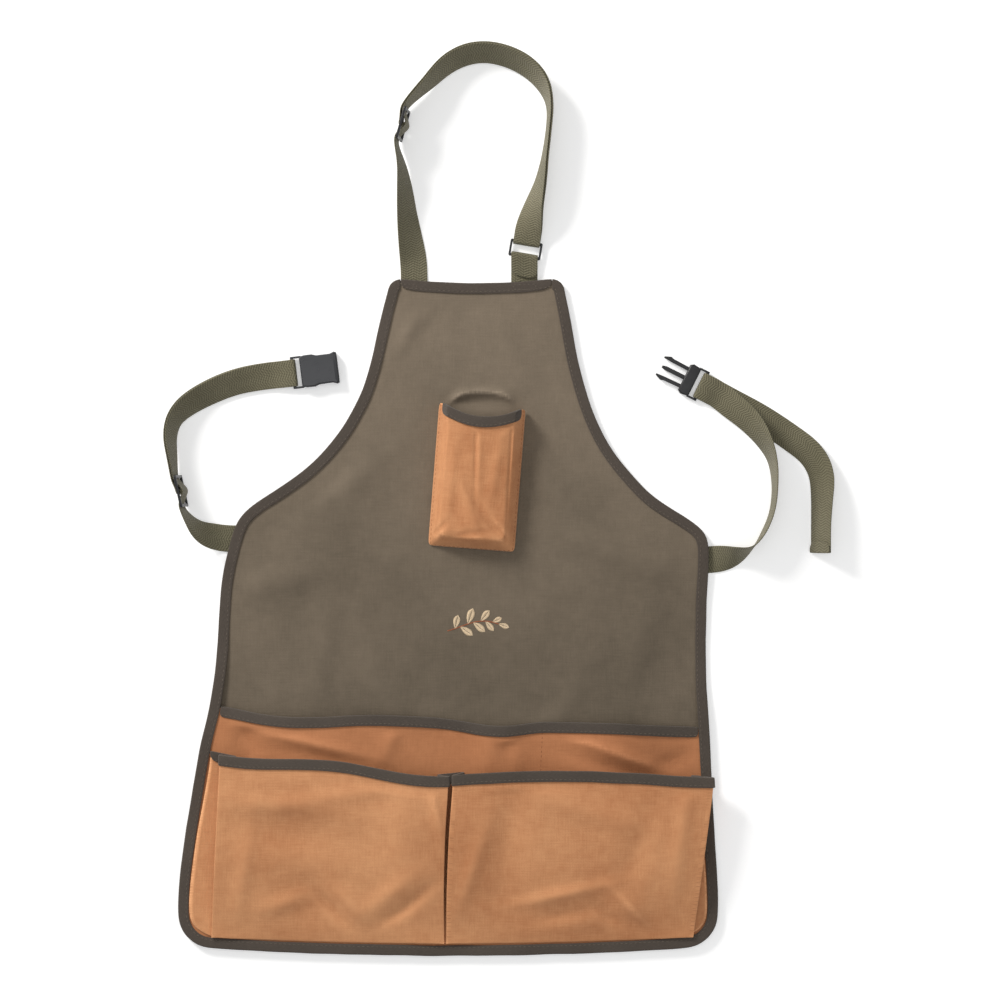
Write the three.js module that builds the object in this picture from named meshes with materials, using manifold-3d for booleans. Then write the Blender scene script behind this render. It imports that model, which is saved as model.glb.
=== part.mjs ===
import * as THREE from "three";
import { mergeVertices } from "three/addons/utils/BufferGeometryUtils.js";
import Module from "manifold-3d";

// A gardening apron that lies face up on the floor. Millimetres, +Y towards the bib, +Z up.
// The origin is on the floor, under the middle of the waist.

// Cloth, tape and webbing
const CLOTH = 1.0;
const TAPE = 1.0;
const WEBBING = 1.5;
const GAP = 0.3; // between pieces that touch
const TAPE_SHOWN = 10; // of the folded tape, on each side
const STRAP_WIDTH = 25;

// Apron body
const APRON_WIDTH = 505;
const APRON_LENGTH = 622; // hem corner to bib top
const WAIST_HEIGHT = 308; // hem corner to origin
const HEM_SAG = 9; // middle of the hem below its corners
const BIB_DIP = 4; // middle of the bib's top below its corners
const HEM_CORNER = 30; // radius
const BIB_CORNER = 12; // radius

// Tall rear pocket, in three bays
const REAR_HEIGHT = 214; // hem corner to mouth
const REAR_BULGE = 9;
const BULGE_RUN = 60; // from a flat seam to the full bulge

// Pleated front pocket
const FRONT_HEIGHT = 168; // hem corner to mouth
const FRONT_DEPTH = 17;
const GUSSET_FOLD = 12; // width of the folds in the gussets at its sides
const PLEAT_WIDTH = 22; // sewn base of the pleat in its middle
const PLEAT_SLIT = 3; // between the two fronts
const PLEAT_ACROSS = 0.495; // share of the way across, where all the pockets are sewn down

// Small boxed pocket on the bib
const BIB_POCKET_WIDTH = 80;
const BIB_POCKET_HEIGHT = 134;
const BIB_POCKET_DEPTH = 18;
const BIB_POCKET_WALL = 9; // gusset as seen from above
const BIB_POCKET_SAG = 13; // of its mouth
const BIB_POCKET_LEAN = THREE.MathUtils.degToRad(-4.5);
const BIB_POCKET_ACROSS = 0.105; // its middle, as a share of half the apron's width
const BIB_POCKET_UP = 0.704; // and of the apron's length

// Straps and their hardware
const NECK_RISE = 218;
const NECK_SPREAD = 137;
const LEFT_STRAP_UP = 0.61; // where the waist straps are sewn, as shares of the apron's length
const RIGHT_STRAP_UP = 0.58;
const LEFT_LOOP_WIDTH = 117;
const LEFT_LOOP_HEIGHT = 155;
const RIGHT_LOOP_WIDTH = 105;
const RIGHT_LOOP_HEIGHT = 162;
const BAR = 3; // bars that webbing wraps
const SLIDER_LENGTH = 30;
const SLIDER_WALL = 2.4;
const SLIDER_SIDE = 2; // beside the webbing
const RING_HEIGHT = 16;
const BUCKLE_WALL = 2;
const BUCKLE_HEIGHT = 9;
const BUCKLE_WIDTH = 30;
const SOCKET_LENGTH = 42;
const PRONG_LENGTH = 25;
const FOLDED_END = 10; // stitched back at the free end of a strap
const SEWN_UNDER = 30; // of the ring's strap, behind the bib

// Worked out from the sizes above
const HEM = -WAIST_HEIGHT;
const BIB_TOP = HEM + APRON_LENGTH;
const HALF_WIDTH = APRON_WIDTH / 2;
const CLOTH_INSET = TAPE + GAP; // cloth edge inside the tape's fold
const TAPE_INSIDE = TAPE_SHOWN + GAP; // clear of the edge tape
const TAPE_LIFT = TAPE + GAP; // room for the tape's back leg under a cloth
const STRAP_LIFT = WEBBING + GAP; // room for a strap sewn on the back
const WRAP_RADIUS = BAR / 2 + GAP + WEBBING / 2;
const STRAP_SLOT = STRAP_WIDTH + 4 * GAP;
const SEAM_FLAT = PLEAT_WIDTH / 2 + 2 * CLOTH_INSET; // rear cloth that stays flat beside a seam
const BESIDE_TAPE = TAPE_SHOWN + SEAM_FLAT / 2;
const END_BAR = (SLIDER_LENGTH - BAR) / 2; // from a slider's middle bar to its end bars
const BIB_POCKET_X = BIB_POCKET_ACROSS * HALF_WIDTH;
const BIB_POCKET_PLACE = new THREE.Vector2(BIB_POCKET_X, HEM + BIB_POCKET_UP * APRON_LENGTH);
const UNDER_GUSSET = BESIDE_TAPE + 2 * GUSSET_FOLD + SEAM_FLAT / 2;
const UP = new THREE.Vector3(0, 0, 1);

const look = {
  olive: new THREE.MeshStandardMaterial({ color: 0x6e6151, roughness: 0.95 }),
  tan: new THREE.MeshStandardMaterial({ color: 0xbc8259, roughness: 0.95 }),
  tape: new THREE.MeshStandardMaterial({ color: 0x5c534a, roughness: 0.9 }),
  webbing: new THREE.MeshStandardMaterial({ color: 0x6d6857, roughness: 0.85 }),
  plastic: new THREE.MeshStandardMaterial({ color: 0x1b1b1d, roughness: 0.35 }),
};

// Sides of the apron from the hem up: shares of its length, and of half its width
const SIDES = [
  { up: 0.0, left: 1.003, right: 0.998 },
  { up: 0.093, left: 0.997, right: 0.994 },
  { up: 0.178, left: 0.97, right: 0.98 },
  { up: 0.265, left: 0.931, right: 0.97 },
  { up: 0.307, left: 0.916, right: 0.964 },
  { up: 0.35, left: 0.886, right: 0.96 },
  { up: 0.394, left: 0.866, right: 0.951 },
  { up: 0.458, left: 0.851, right: 0.95 },
  { up: 0.522, left: 0.845, right: 0.954 },
  { up: 0.564, left: 0.832, right: 0.959 },
  { up: 0.608, left: 0.806, right: 0.964 },
  { up: 0.629, left: 0.79, right: 0.931 },
  { up: 0.651, left: 0.757, right: 0.843 },
  { up: 0.672, left: 0.686, right: 0.759 },
  { up: 0.693, left: 0.6, right: 0.706 },
  { up: 0.715, left: 0.53, right: 0.66 },
  { up: 0.736, left: 0.471, right: 0.616 },
  { up: 0.768, left: 0.405, right: 0.567 },
  { up: 0.801, left: 0.355, right: 0.532 },
  { up: 0.835, left: 0.316, right: 0.505 },
  { up: 0.872, left: 0.287, right: 0.481 },
  { up: 0.91, left: 0.268, right: 0.462 },
  { up: 0.95, left: 0.246, right: 0.446 },
  { up: 1.0, left: 0.212, right: 0.42 },
];

// Mouths of the large pockets: shares of the way across, and of each pocket's height
const REAR_MOUTH = [
  { across: 0, up: 1.05 },
  { across: 0.1, up: 1.005 },
  { across: 0.2, up: 0.997 },
  { across: 0.3, up: 1.015 },
  { across: 0.42, up: 1.003 },
  { across: 0.49, up: 0.988 },
  { across: 0.59, up: 0.954 },
  { across: 0.67, up: 0.978 },
  { across: 0.83, up: 0.973 },
  { across: 1, up: 0.954 },
];
const FRONT_MOUTH = [
  { across: 0, up: 1.09 },
  { across: 0.06, up: 1.055 },
  { across: 0.27, up: 1.045 },
  { across: 0.34, up: 1.0 },
  { across: 0.43, up: 0.955 },
  { across: 0.49, up: 0.955 },
  { across: 0.52, up: 0.97 },
  { across: 0.7, up: 0.988 },
  { across: 0.85, up: 0.975 },
  { across: 1, up: 0.948 },
];
// Bays of the rear pocket: shares of the way across, and of its full bulge
const BAYS = [
  { from: 0, to: PLEAT_ACROSS, bulge: 1, columns: 8 },
  { from: PLEAT_ACROSS, to: 0.67, bulge: 0.6, columns: 5 },
  { from: 0.67, to: 1, bulge: 0.85, columns: 7 },
];

// Outer folds of the front pocket's gussets: shares of half the apron's width
const GUSSET_FOLDS = {
  left: { hem: -0.872, mouth: -0.836 },
  right: { hem: 0.901, mouth: 0.97 },
};

// Dents and ridges in the pocket fronts and the body. Places, lengths and widths are shares
// of half the apron's width, heights shares of the front pocket's depth.
const FRONT_CREASES = [
  { x: -0.12, y: -1.0, angle: 78, length: 0.2, width: 0.05, height: 0.18 },
  { x: -0.44, y: -1.14, angle: -50, length: 0.16, width: 0.05, height: -0.2 },
  { x: -0.5, y: -1.0, angle: 5, length: 0.26, width: 0.09, height: -0.22 },
  { x: -0.2, y: -1.12, angle: 35, length: 0.14, width: 0.06, height: -0.18 },
  { x: -0.72, y: -1.1, angle: 62, length: 0.2, width: 0.06, height: 0.14 },
  { x: 0.24, y: -0.98, angle: 80, length: 0.2, width: 0.1, height: -0.22 },
  { x: 0.5, y: -1.1, angle: 15, length: 0.22, width: 0.06, height: 0.2 },
  { x: 0.66, y: -1.16, angle: -52, length: 0.14, width: 0.06, height: -0.16 },
  { x: 0.78, y: -0.92, angle: 70, length: 0.2, width: 0.07, height: 0.14 },
];
const BODY_CREASES = [
  { x: -0.6, y: 0.16, angle: 20, length: 0.22, width: 0.07, height: 0.14 },
  { x: -0.42, y: 0.34, angle: 40, length: 0.2, width: 0.06, height: 0.12 },
  { x: 0.62, y: 0.2, angle: -24, length: 0.22, width: 0.07, height: 0.14 },
  { x: 0.5, y: -0.1, angle: 8, length: 0.26, width: 0.07, height: 0.11 },
  { x: -0.5, y: -0.12, angle: -6, length: 0.26, width: 0.08, height: 0.12 },
];

// Routes of the straps: shares of each loop's width and height from where the strap leaves
// the apron. Turn is the webbing's twist in degrees, 90 on edge. Over counts layers below it.
const NECK_ROUTE = [
  { x: 0, y: -0.12, turn: 0 },
  { x: 0, y: 0.06, turn: 0 },
  { x: -0.02, y: 0.16, turn: 25 },
  { x: -0.045, y: 0.28, turn: 45 },
  { x: -0.06, y: 0.39, turn: 58 },
  { x: -0.08, y: 0.49, turn: 74 },
  { x: -0.11, y: 0.565, turn: 84 },
  { x: -0.09, y: 0.61, turn: 84 },
  { x: -0.07, y: 0.655, turn: 84, slider: true },
  { x: -0.05, y: 0.7, turn: 84 },
  { x: -0.03, y: 0.745, turn: 84 },
  { x: 0.035, y: 0.795, turn: 76 },
  { x: 0.11, y: 0.84, turn: 68 },
  { x: 0.2, y: 0.9, turn: 58 },
  { x: 0.33, y: 0.95, turn: 50 },
  { x: 0.475, y: 0.967, turn: 50 },
  { x: 0.635, y: 0.948, turn: 50 },
  { x: 0.77, y: 0.905, turn: 52 },
  { x: 0.87, y: 0.84, turn: 62 },
  { x: 0.925, y: 0.75, turn: 82 },
  { x: 0.917, y: 0.635, turn: 84 },
  { x: 0.89, y: 0.51, turn: 80 },
  { x: 0.86, y: 0.405, turn: 68 },
  { x: 0.815, y: 0.31, turn: 48 },
  { x: 0.79, y: 0.24, turn: 24 },
  { x: 0.777, y: 0.19, turn: 4 },
  { x: 0.768, y: 0.156, turn: 0 },
];
const LEFT_ROUTE = [
  { x: 0.19, y: 0, turn: 0 },
  { x: -0.11, y: 0.01, turn: 0 },
  { x: -0.2, y: 0.035, turn: 25 },
  { x: -0.28, y: 0.08, turn: 65 },
  { x: -0.35, y: 0.17, turn: 85 },
  { x: -0.3675, y: 0.23, turn: 85 },
  { x: -0.385, y: 0.29, turn: 85, slider: true },
  { x: -0.4025, y: 0.35, turn: 85 },
  { x: -0.42, y: 0.41, turn: 85 },
  { x: -0.46, y: 0.52, turn: 76 },
  { x: -0.475, y: 0.61, turn: 72 },
  { x: -0.455, y: 0.705, turn: 65 },
  { x: -0.365, y: 0.79, turn: 46 },
  { x: -0.185, y: 0.875, turn: 32 },
  { x: 0.04, y: 0.945, turn: 24 },
  { x: 0.27, y: 0.98, turn: 10 },
  { x: 0.415, y: 0.992, turn: 0 },
  { x: 0.5, y: 1, turn: 0 },
];
const RIGHT_ROUTE = [
  { x: -0.19, y: -0.01, turn: 0, over: 0 },
  { x: 0.06, y: 0, turn: 0, over: 0 },
  { x: 0.24, y: 0.02, turn: 45, over: 0 },
  { x: 0.38, y: 0.065, turn: 85, over: 0 },
  { x: 0.48, y: 0.155, turn: 94, over: 0 },
  { x: 0.555, y: 0.275, turn: 95, over: 0 },
  { x: 0.58, y: 0.43, turn: 97, over: 0 },
  { x: 0.555, y: 0.575, turn: 105, over: 0.5 },
  { x: 0.475, y: 0.69, turn: 125, over: 1 },
  { x: 0.35, y: 0.8, turn: 150, over: 1 },
  { x: 0.19, y: 0.89, turn: 170, over: 1 },
  { x: 0.065, y: 0.955, turn: 180, over: 0.4 },
  { x: -0.065, y: 0.997, turn: 180, over: 0 },
];
const TAIL_ROUTE = [
  { x: -0.065, y: 0.997, turn: 0 },
  { x: 0.065, y: 0.955, turn: 0 },
  { x: 0.22, y: 0.9, turn: 0 },
  { x: 0.45, y: 0.82, turn: 0 },
  { x: 0.73, y: 0.7, turn: 0 },
  { x: 0.92, y: 0.6, turn: 8 },
  { x: 1.0, y: 0.49, turn: 24 },
  { x: 1.0, y: 0.35, turn: 44 },
  { x: 0.99, y: 0.195, turn: 50 },
  { x: 0.99, y: 0.045, turn: 50 },
];

const mix = THREE.MathUtils.lerp;
const ease = (t) => THREE.MathUtils.smoothstep(t, 0, 1);

// The value of a column where another column, which rises from row to row, has a value
function read(table, key, at, column) {
  const found = table.findIndex((row) => row[key] >= at);
  const next = found < 0 ? table.length - 1 : Math.max(1, found);
  const [low, high] = [table[next - 1], table[next]];
  const share = (at - low[key]) / (high[key] - low[key]);
  return mix(low[column], high[column], THREE.MathUtils.clamp(share, 0, 1));
}

// Soft ridges and dents, added up at a place
function creaseHeight(creases, x, y) {
  let height = 0;
  for (const crease of creases) {
    const turn = THREE.MathUtils.degToRad(crease.angle);
    const dx = x / HALF_WIDTH - crease.x;
    const dy = y / HALF_WIDTH - crease.y;
    const along = (dx * Math.cos(turn) + dy * Math.sin(turn)) / crease.length;
    const beside = (dy * Math.cos(turn) - dx * Math.sin(turn)) / crease.width;
    height += crease.height * Math.exp(-along * along - beside * beside);
  }
  return height * FRONT_DEPTH;
}

// The sheet's own normal at a grid point, lengthened at a fold so that the wall keeps its
// thickness, and no further than SHARPEST_FOLD allows
const SHARPEST_FOLD = 0.6;
function foldNormal(grid, i, j) {
  const faces = [];
  for (const [a, b] of [[i - 1, j - 1], [i, j - 1], [i - 1, j], [i, j]]) {
    if (a < 0 || b < 0 || a + 1 >= grid[0].length || b + 1 >= grid.length) continue;
    const rising = grid[b + 1][a + 1].clone().sub(grid[b][a]);
    const falling = grid[b + 1][a].clone().sub(grid[b][a + 1]);
    faces.push(rising.cross(falling).normalize());
  }
  const normal = faces.reduce((sum, face) => sum.add(face), new THREE.Vector3()).normalize();
  const square = faces.reduce((sum, face) => sum + normal.dot(face), 0) / faces.length;
  return normal.divideScalar(Math.max(square, SHARPEST_FOLD));
}

// A cloth, tape or strap: a thin box bent so that its middle runs through a grid of points
function cloth(name, material, thickness, grid) {
  const columns = grid[0].length - 1;
  const rows = grid.length - 1;
  const geometry = new THREE.BoxGeometry(1, 1, 1, columns, rows, 1);
  const position = geometry.attributes.position;
  const normals = grid.map((row, j) => row.map((_, i) => foldNormal(grid, i, j)));
  for (let k = 0; k < position.count; k++) {
    const i = Math.round((position.getX(k) + 0.5) * columns);
    const j = Math.round((position.getY(k) + 0.5) * rows);
    const place = grid[j][i].clone().addScaledVector(normals[j][i], position.getZ(k) * thickness);
    position.setXYZ(k, place.x, place.y, place.z);
  }
  geometry.computeVertexNormals();
  const mesh = new THREE.Mesh(geometry, material);
  mesh.name = name;
  return mesh;
}

// Tape folded over an edge: each station has the edge, the ways into and up from the cloth,
// and the thickness of what the tape holds.
function foldedTape(name, stations) {
  const reach = GAP + TAPE / 2;
  const shown = TAPE_SHOWN - CLOTH_INSET;
  const grid = stations.map(({ at, into, up, stack }) => {
    const half = stack / 2 + reach;
    const point = (d, s) => at.clone().addScaledVector(into, d).addScaledVector(up, s);
    return [point(shown, half), point(-reach, half), point(-reach, -half), point(shown, -half)];
  });
  return cloth(name, look.tape, TAPE, grid);
}

// Points of one side of the outline, from the hem up to the bib top
const CORNER_STEPS = 4;
function sidePoints(side) {
  const column = side < 0 ? "left" : "right";
  const points = [];
  const addCorner = (y, radius, startTurn, endTurn) => {
    const edge = side * HALF_WIDTH * read(SIDES, "up", (y - HEM) / APRON_LENGTH, column);
    for (let k = 0; k <= CORNER_STEPS; k++) {
      const turn = mix(startTurn, endTurn, k / CORNER_STEPS);
      const x = edge - side * radius * (1 - Math.cos(turn));
      points.push(new THREE.Vector2(x, y + radius * Math.sin(turn)));
    }
  };
  addCorner(HEM + HEM_CORNER, HEM_CORNER, -Math.PI / 2, 0);
  for (const row of SIDES) {
    const y = HEM + row.up * APRON_LENGTH;
    if (y > HEM + HEM_CORNER + TAPE_SHOWN && y < BIB_TOP - BIB_CORNER - TAPE_SHOWN / 2)
      points.push(new THREE.Vector2(side * HALF_WIDTH * row[column], y));
  }
  addCorner(BIB_TOP - BIB_CORNER, BIB_CORNER, 0, Math.PI / 2);
  return points;
}

// The edge as one chain, down the left side, along the hem and up the right side. Each
// station has its place and the way into the cloth, lengthened at a bend.
const BODY_COLUMNS = 16;
const leftSide = sidePoints(-1);
const rightSide = sidePoints(1);
const edgeChain = [...leftSide].reverse();
for (let i = 1; i < BODY_COLUMNS; i++)
  edgeChain.push(leftSide[0].clone().lerp(rightSide[0], i / BODY_COLUMNS));
edgeChain.push(...rightSide);
const inwards = edgeChain.map((point, k) => {
  if (k === 0 || k === edgeChain.length - 1) return new THREE.Vector2(0, -1);
  const before = point.clone().sub(edgeChain[k - 1]);
  const after = edgeChain[k + 1].clone().sub(point);
  const into = (way) => new THREE.Vector2(-way.y, way.x).normalize();
  const normal = into(before).add(into(after)).normalize();
  return normal.divideScalar(normal.dot(into(after)));
});
const insetChain = (inset) => edgeChain.map((p, k) => p.clone().addScaledVector(inwards[k], inset));

// The two ends of a row across the apron at a height, so far inside its edge
function rowEnds(inset, y) {
  const chain = insetChain(inset);
  const left = chain.slice(0, leftSide.length).reverse();
  const right = chain.slice(-rightSide.length);
  const at = (points) => read(points, "y", Math.max(y, points[0].y), "x");
  return [at(left), at(right)];
}

// The hem sags between its corners, and the bib's top dips
const SAG_REACH = 0.2 * APRON_LENGTH;
function settle(x, y) {
  const hemShare = 1 - Math.min(1, (x / HALF_WIDTH) ** 2);
  const hemFade = THREE.MathUtils.clamp(1 - (y - HEM) / SAG_REACH, 0, 1) ** 2;
  const [left, right] = [leftSide.at(-1).x, rightSide.at(-1).x];
  const topShare = Math.sin(Math.PI * THREE.MathUtils.clamp((x - left) / (right - left), 0, 1));
  const topFade = THREE.MathUtils.clamp(1 - (BIB_TOP - y) / SAG_REACH, 0, 1) ** 2;
  return y - HEM_SAG * hemShare * hemFade - BIB_DIP * topShare * topFade;
}

// Height of the body cloth's underside: on the floor at the origin, else on the tape's back
// leg, and above the waist on the straps sewn behind it
const FLAT_PATCH = 30;
const PATCH_RUN = 30;
const STRAP_LIFT_FROM = 5;
const STRAP_LIFT_RUN = 30;
function underBody(x, y) {
  const strapLift = STRAP_LIFT * ease((y - STRAP_LIFT_FROM) / STRAP_LIFT_RUN);
  const offPatch = ease((Math.hypot(x, y) - FLAT_PATCH) / PATCH_RUN);
  return (TAPE_LIFT + strapLift) * offPatch;
}

// Body creases fade out at the edge, under the pockets and on the flat patch
const CREASE_RUN = 30;
function bodyCrease(x, y) {
  const [left, right] = rowEnds(TAPE_INSIDE, y);
  const edgeFade = ease((x - left) / CREASE_RUN) * ease((right - x) / CREASE_RUN);
  const pocketFade = ease((y - rearMouthHeight(x) - TAPE_SHOWN) / CREASE_RUN);
  const bib = new THREE.Vector2(x, y).sub(BIB_POCKET_PLACE);
  bib.rotateAround(new THREE.Vector2(), -BIB_POCKET_LEAN);
  const besideBib = Math.abs(bib.x) - BIB_POCKET_WIDTH / 2;
  const aboveBib = Math.abs(bib.y) - BIB_POCKET_HEIGHT / 2;
  const bibFade = ease((Math.max(besideBib, aboveBib) - TAPE_SHOWN) / CREASE_RUN);
  const patchFade = ease((Math.hypot(x, y) - FLAT_PATCH) / PATCH_RUN);
  return edgeFade * pocketFade * bibFade * patchFade * Math.max(0, creaseHeight(BODY_CREASES, x, y));
}

// Height of a large pocket's mouth at a place across the apron
function mouthHeight(table, height, x) {
  const [left, right] = rowEnds(TAPE_INSIDE, HEM + height);
  return HEM + height * read(table, "across", (x - left) / (right - left), "up");
}
const rearMouthHeight = (x) => mouthHeight(REAR_MOUTH, REAR_HEIGHT, x);
const frontMouthHeight = (x) => mouthHeight(FRONT_MOUTH, FRONT_HEIGHT, x);

// Height of the rear pocket's cloth above its flat seams. Its folds start further in where
// the front pocket's gussets lie on it.
function rearBulge(x, y) {
  const [left, right] = rowEnds(CLOTH_INSET, y);
  const width = right - left;
  const rise = ease((y - HEM - HEM_CORNER) / (REAR_HEIGHT - TAPE_SHOWN - HEM_CORNER));
  const aboveFront = ease((y - frontMouthHeight(x)) / (REAR_HEIGHT - FRONT_HEIGHT - TAPE_SHOWN));
  const edgeFlat = mix(UNDER_GUSSET, BESIDE_TAPE, aboveFront);
  let height = 0;
  for (const bay of BAYS) {
    const start = left + bay.from * width + (bay.from === 0 ? edgeFlat : SEAM_FLAT);
    const end = left + bay.to * width - (bay.to === 1 ? edgeFlat : SEAM_FLAT);
    const run = Math.min(BULGE_RUN, (end - start) / 2);
    height += REAR_BULGE * bay.bulge * rise * ease((x - start) / run) * ease((end - x) / run);
  }
  return height;
}
const rearTopAt = (x, y) => underBody(x, y) + CLOTH + GAP + TAPE_LIFT + CLOTH + rearBulge(x, y);

// Body
function body() {
  const chain = insetChain(CLOTH_INSET);
  const left = chain.slice(0, leftSide.length).reverse();
  const right = chain.slice(-rightSide.length);
  const grid = left.map((start, j) =>
    Array.from({ length: BODY_COLUMNS + 1 }, (_, i) => {
      const { x, y } = start.clone().lerp(right[j], i / BODY_COLUMNS);
      return new THREE.Vector3(x, settle(x, y), underBody(x, y) + CLOTH / 2 + bodyCrease(x, y));
    }),
  );
  return cloth("body_panel", look.olive, CLOTH, grid);
}

// Tape round the edge. Beside the pockets it holds three cloths, elsewhere one.
function edgeBinding() {
  const inside = insetChain(CLOTH_INSET);
  const covered = inside.map(({ x, y }) => y < rearMouthHeight(x) + TAPE_SHOWN);
  const stations = inside.map(({ x, y }, k) => {
    const thick = covered[k] || covered[k - 1] || covered[k + 1];
    const stack = thick ? CLOTH + GAP + TAPE_LIFT + CLOTH : CLOTH;
    const at = new THREE.Vector3(x, settle(x, y), underBody(x, y) + stack / 2);
    return { at, into: new THREE.Vector3(inwards[k].x, inwards[k].y, 0), up: UP, stack };
  });
  return foldedTape("edge_binding", stations);
}

// Tape over the bib's top, between the ends of the edge tape
const BIB_STEPS = 6;
function bibBinding() {
  const chain = insetChain(CLOTH_INSET);
  const ends = [chain[0].x + GAP, chain.at(-1).x - GAP];
  const y = chain[0].y;
  const stations = Array.from({ length: BIB_STEPS + 1 }, (_, k) => {
    const x = mix(ends[1], ends[0], k / BIB_STEPS);
    const at = new THREE.Vector3(x, settle(x, y), underBody(x, y) + CLOTH / 2);
    return { at, into: new THREE.Vector3(0, -1, 0), up: UP, stack: CLOTH };
  });
  return foldedTape("bib_binding", stations);
}

// The part of a line of points between two places across, with an end cut at each
function clip(points, from, to) {
  const at = (x) => {
    const next = Math.max(1, points.findIndex((point) => point.x >= x));
    const [low, high] = [points[next - 1], points[next]];
    return low.clone().lerp(high, (x - low.x) / (high.x - low.x));
  };
  return [at(from), ...points.filter((point) => point.x > from + 1 && point.x < to - 1), at(to)];
}

// Tape over a pocket's mouth, along the cloth's own top row
function mouthBinding(name, points, down) {
  const stations = points.map((point, k) => {
    const ways = [];
    if (k > 0) ways.push(point.clone().sub(points[k - 1]));
    if (k + 1 < points.length) ways.push(points[k + 1].clone().sub(point));
    const normals = ways.map((way) => way.cross(down).negate().normalize());
    const up = normals.reduce((sum, normal) => sum.add(normal), new THREE.Vector3()).normalize();
    const square = up.dot(ways.length ? normals[0] : up);
    return { at: point, into: down, up: up.divideScalar(Math.max(square, SHARPEST_FOLD)), stack: CLOTH };
  });
  return foldedTape(name, stations);
}

// Tall rear pocket. Its last two rows share their places across, so the mouth's tape fits.
const REAR_ROWS = 8;
const rearColumns = BAYS.flatMap(({ from, to, columns }) => {
  const [left, right] = rowEnds(CLOTH_INSET, HEM + REAR_HEIGHT);
  const flat = SEAM_FLAT / (right - left);
  const start = from + (from === 0 ? UNDER_GUSSET / (right - left) : flat);
  const end = to - (to === 1 ? UNDER_GUSSET / (right - left) : flat);
  const inner = Array.from({ length: columns - 1 }, (_, k) => mix(start, end, k / (columns - 2)));
  const beside = BESIDE_TAPE / (right - left);
  return [from, ...(from === 0 ? [beside] : []), ...inner, ...(to === 1 ? [1 - beside] : [])];
}).concat(1);
function rearGrid() {
  const corner = insetChain(CLOTH_INSET).slice(0, leftSide.length).reverse().slice(0, CORNER_STEPS + 1);
  const atMouth = rowEnds(CLOTH_INSET, HEM + REAR_HEIGHT);
  const rowAt = (yOf) =>
    rearColumns.map((share) => {
      const y = yOf(mix(...atMouth, share));
      return { x: mix(...rowEnds(CLOTH_INSET, y), share), y };
    });
  const mouth = rowAt((x) => rearMouthHeight(x) - CLOTH_INSET);
  const rows = corner.map((point) => rowAt(() => point.y));
  const low = corner.at(-1).y;
  const underTape = (x) => rearMouthHeight(x) - TAPE_SHOWN - 2 * GAP;
  for (let k = 1; k < REAR_ROWS - 1; k++)
    rows.push(rowAt((x) => mix(low, underTape(x), k / (REAR_ROWS - 1))));
  rows.push(mouth.map(({ x, y }) => ({ x, y: y - TAPE_SHOWN })), mouth);
  const height = ({ x, y }) => rearTopAt(x, y) - CLOTH / 2;
  const grid = rows.map((row) => row.map((p) => new THREE.Vector3(p.x, settle(p.x, p.y), height(p))));
  grid.at(-1).forEach((point, i) => (point.z = grid.at(-2)[i].z = Math.max(point.z, grid.at(-2)[i].z)));
  return grid;
}

function rearPocket() {
  const grid = rearGrid();
  const low = grid.at(-2)[0].y;
  const high = grid.at(-1)[0].y;
  const [lowEnds, highEnds] = [low, high].map((y) => rowEnds(TAPE_INSIDE + GAP, y));
  const ends = [Math.max(lowEnds[0], highEnds[0]), Math.min(lowEnds[1], highEnds[1])];
  const tape = mouthBinding("rear_pocket_binding", clip(grid.at(-1), ...ends), new THREE.Vector3(0, -1, 0));
  return [cloth("rear_pocket", look.tan, CLOTH, grid), tape];
}

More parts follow.
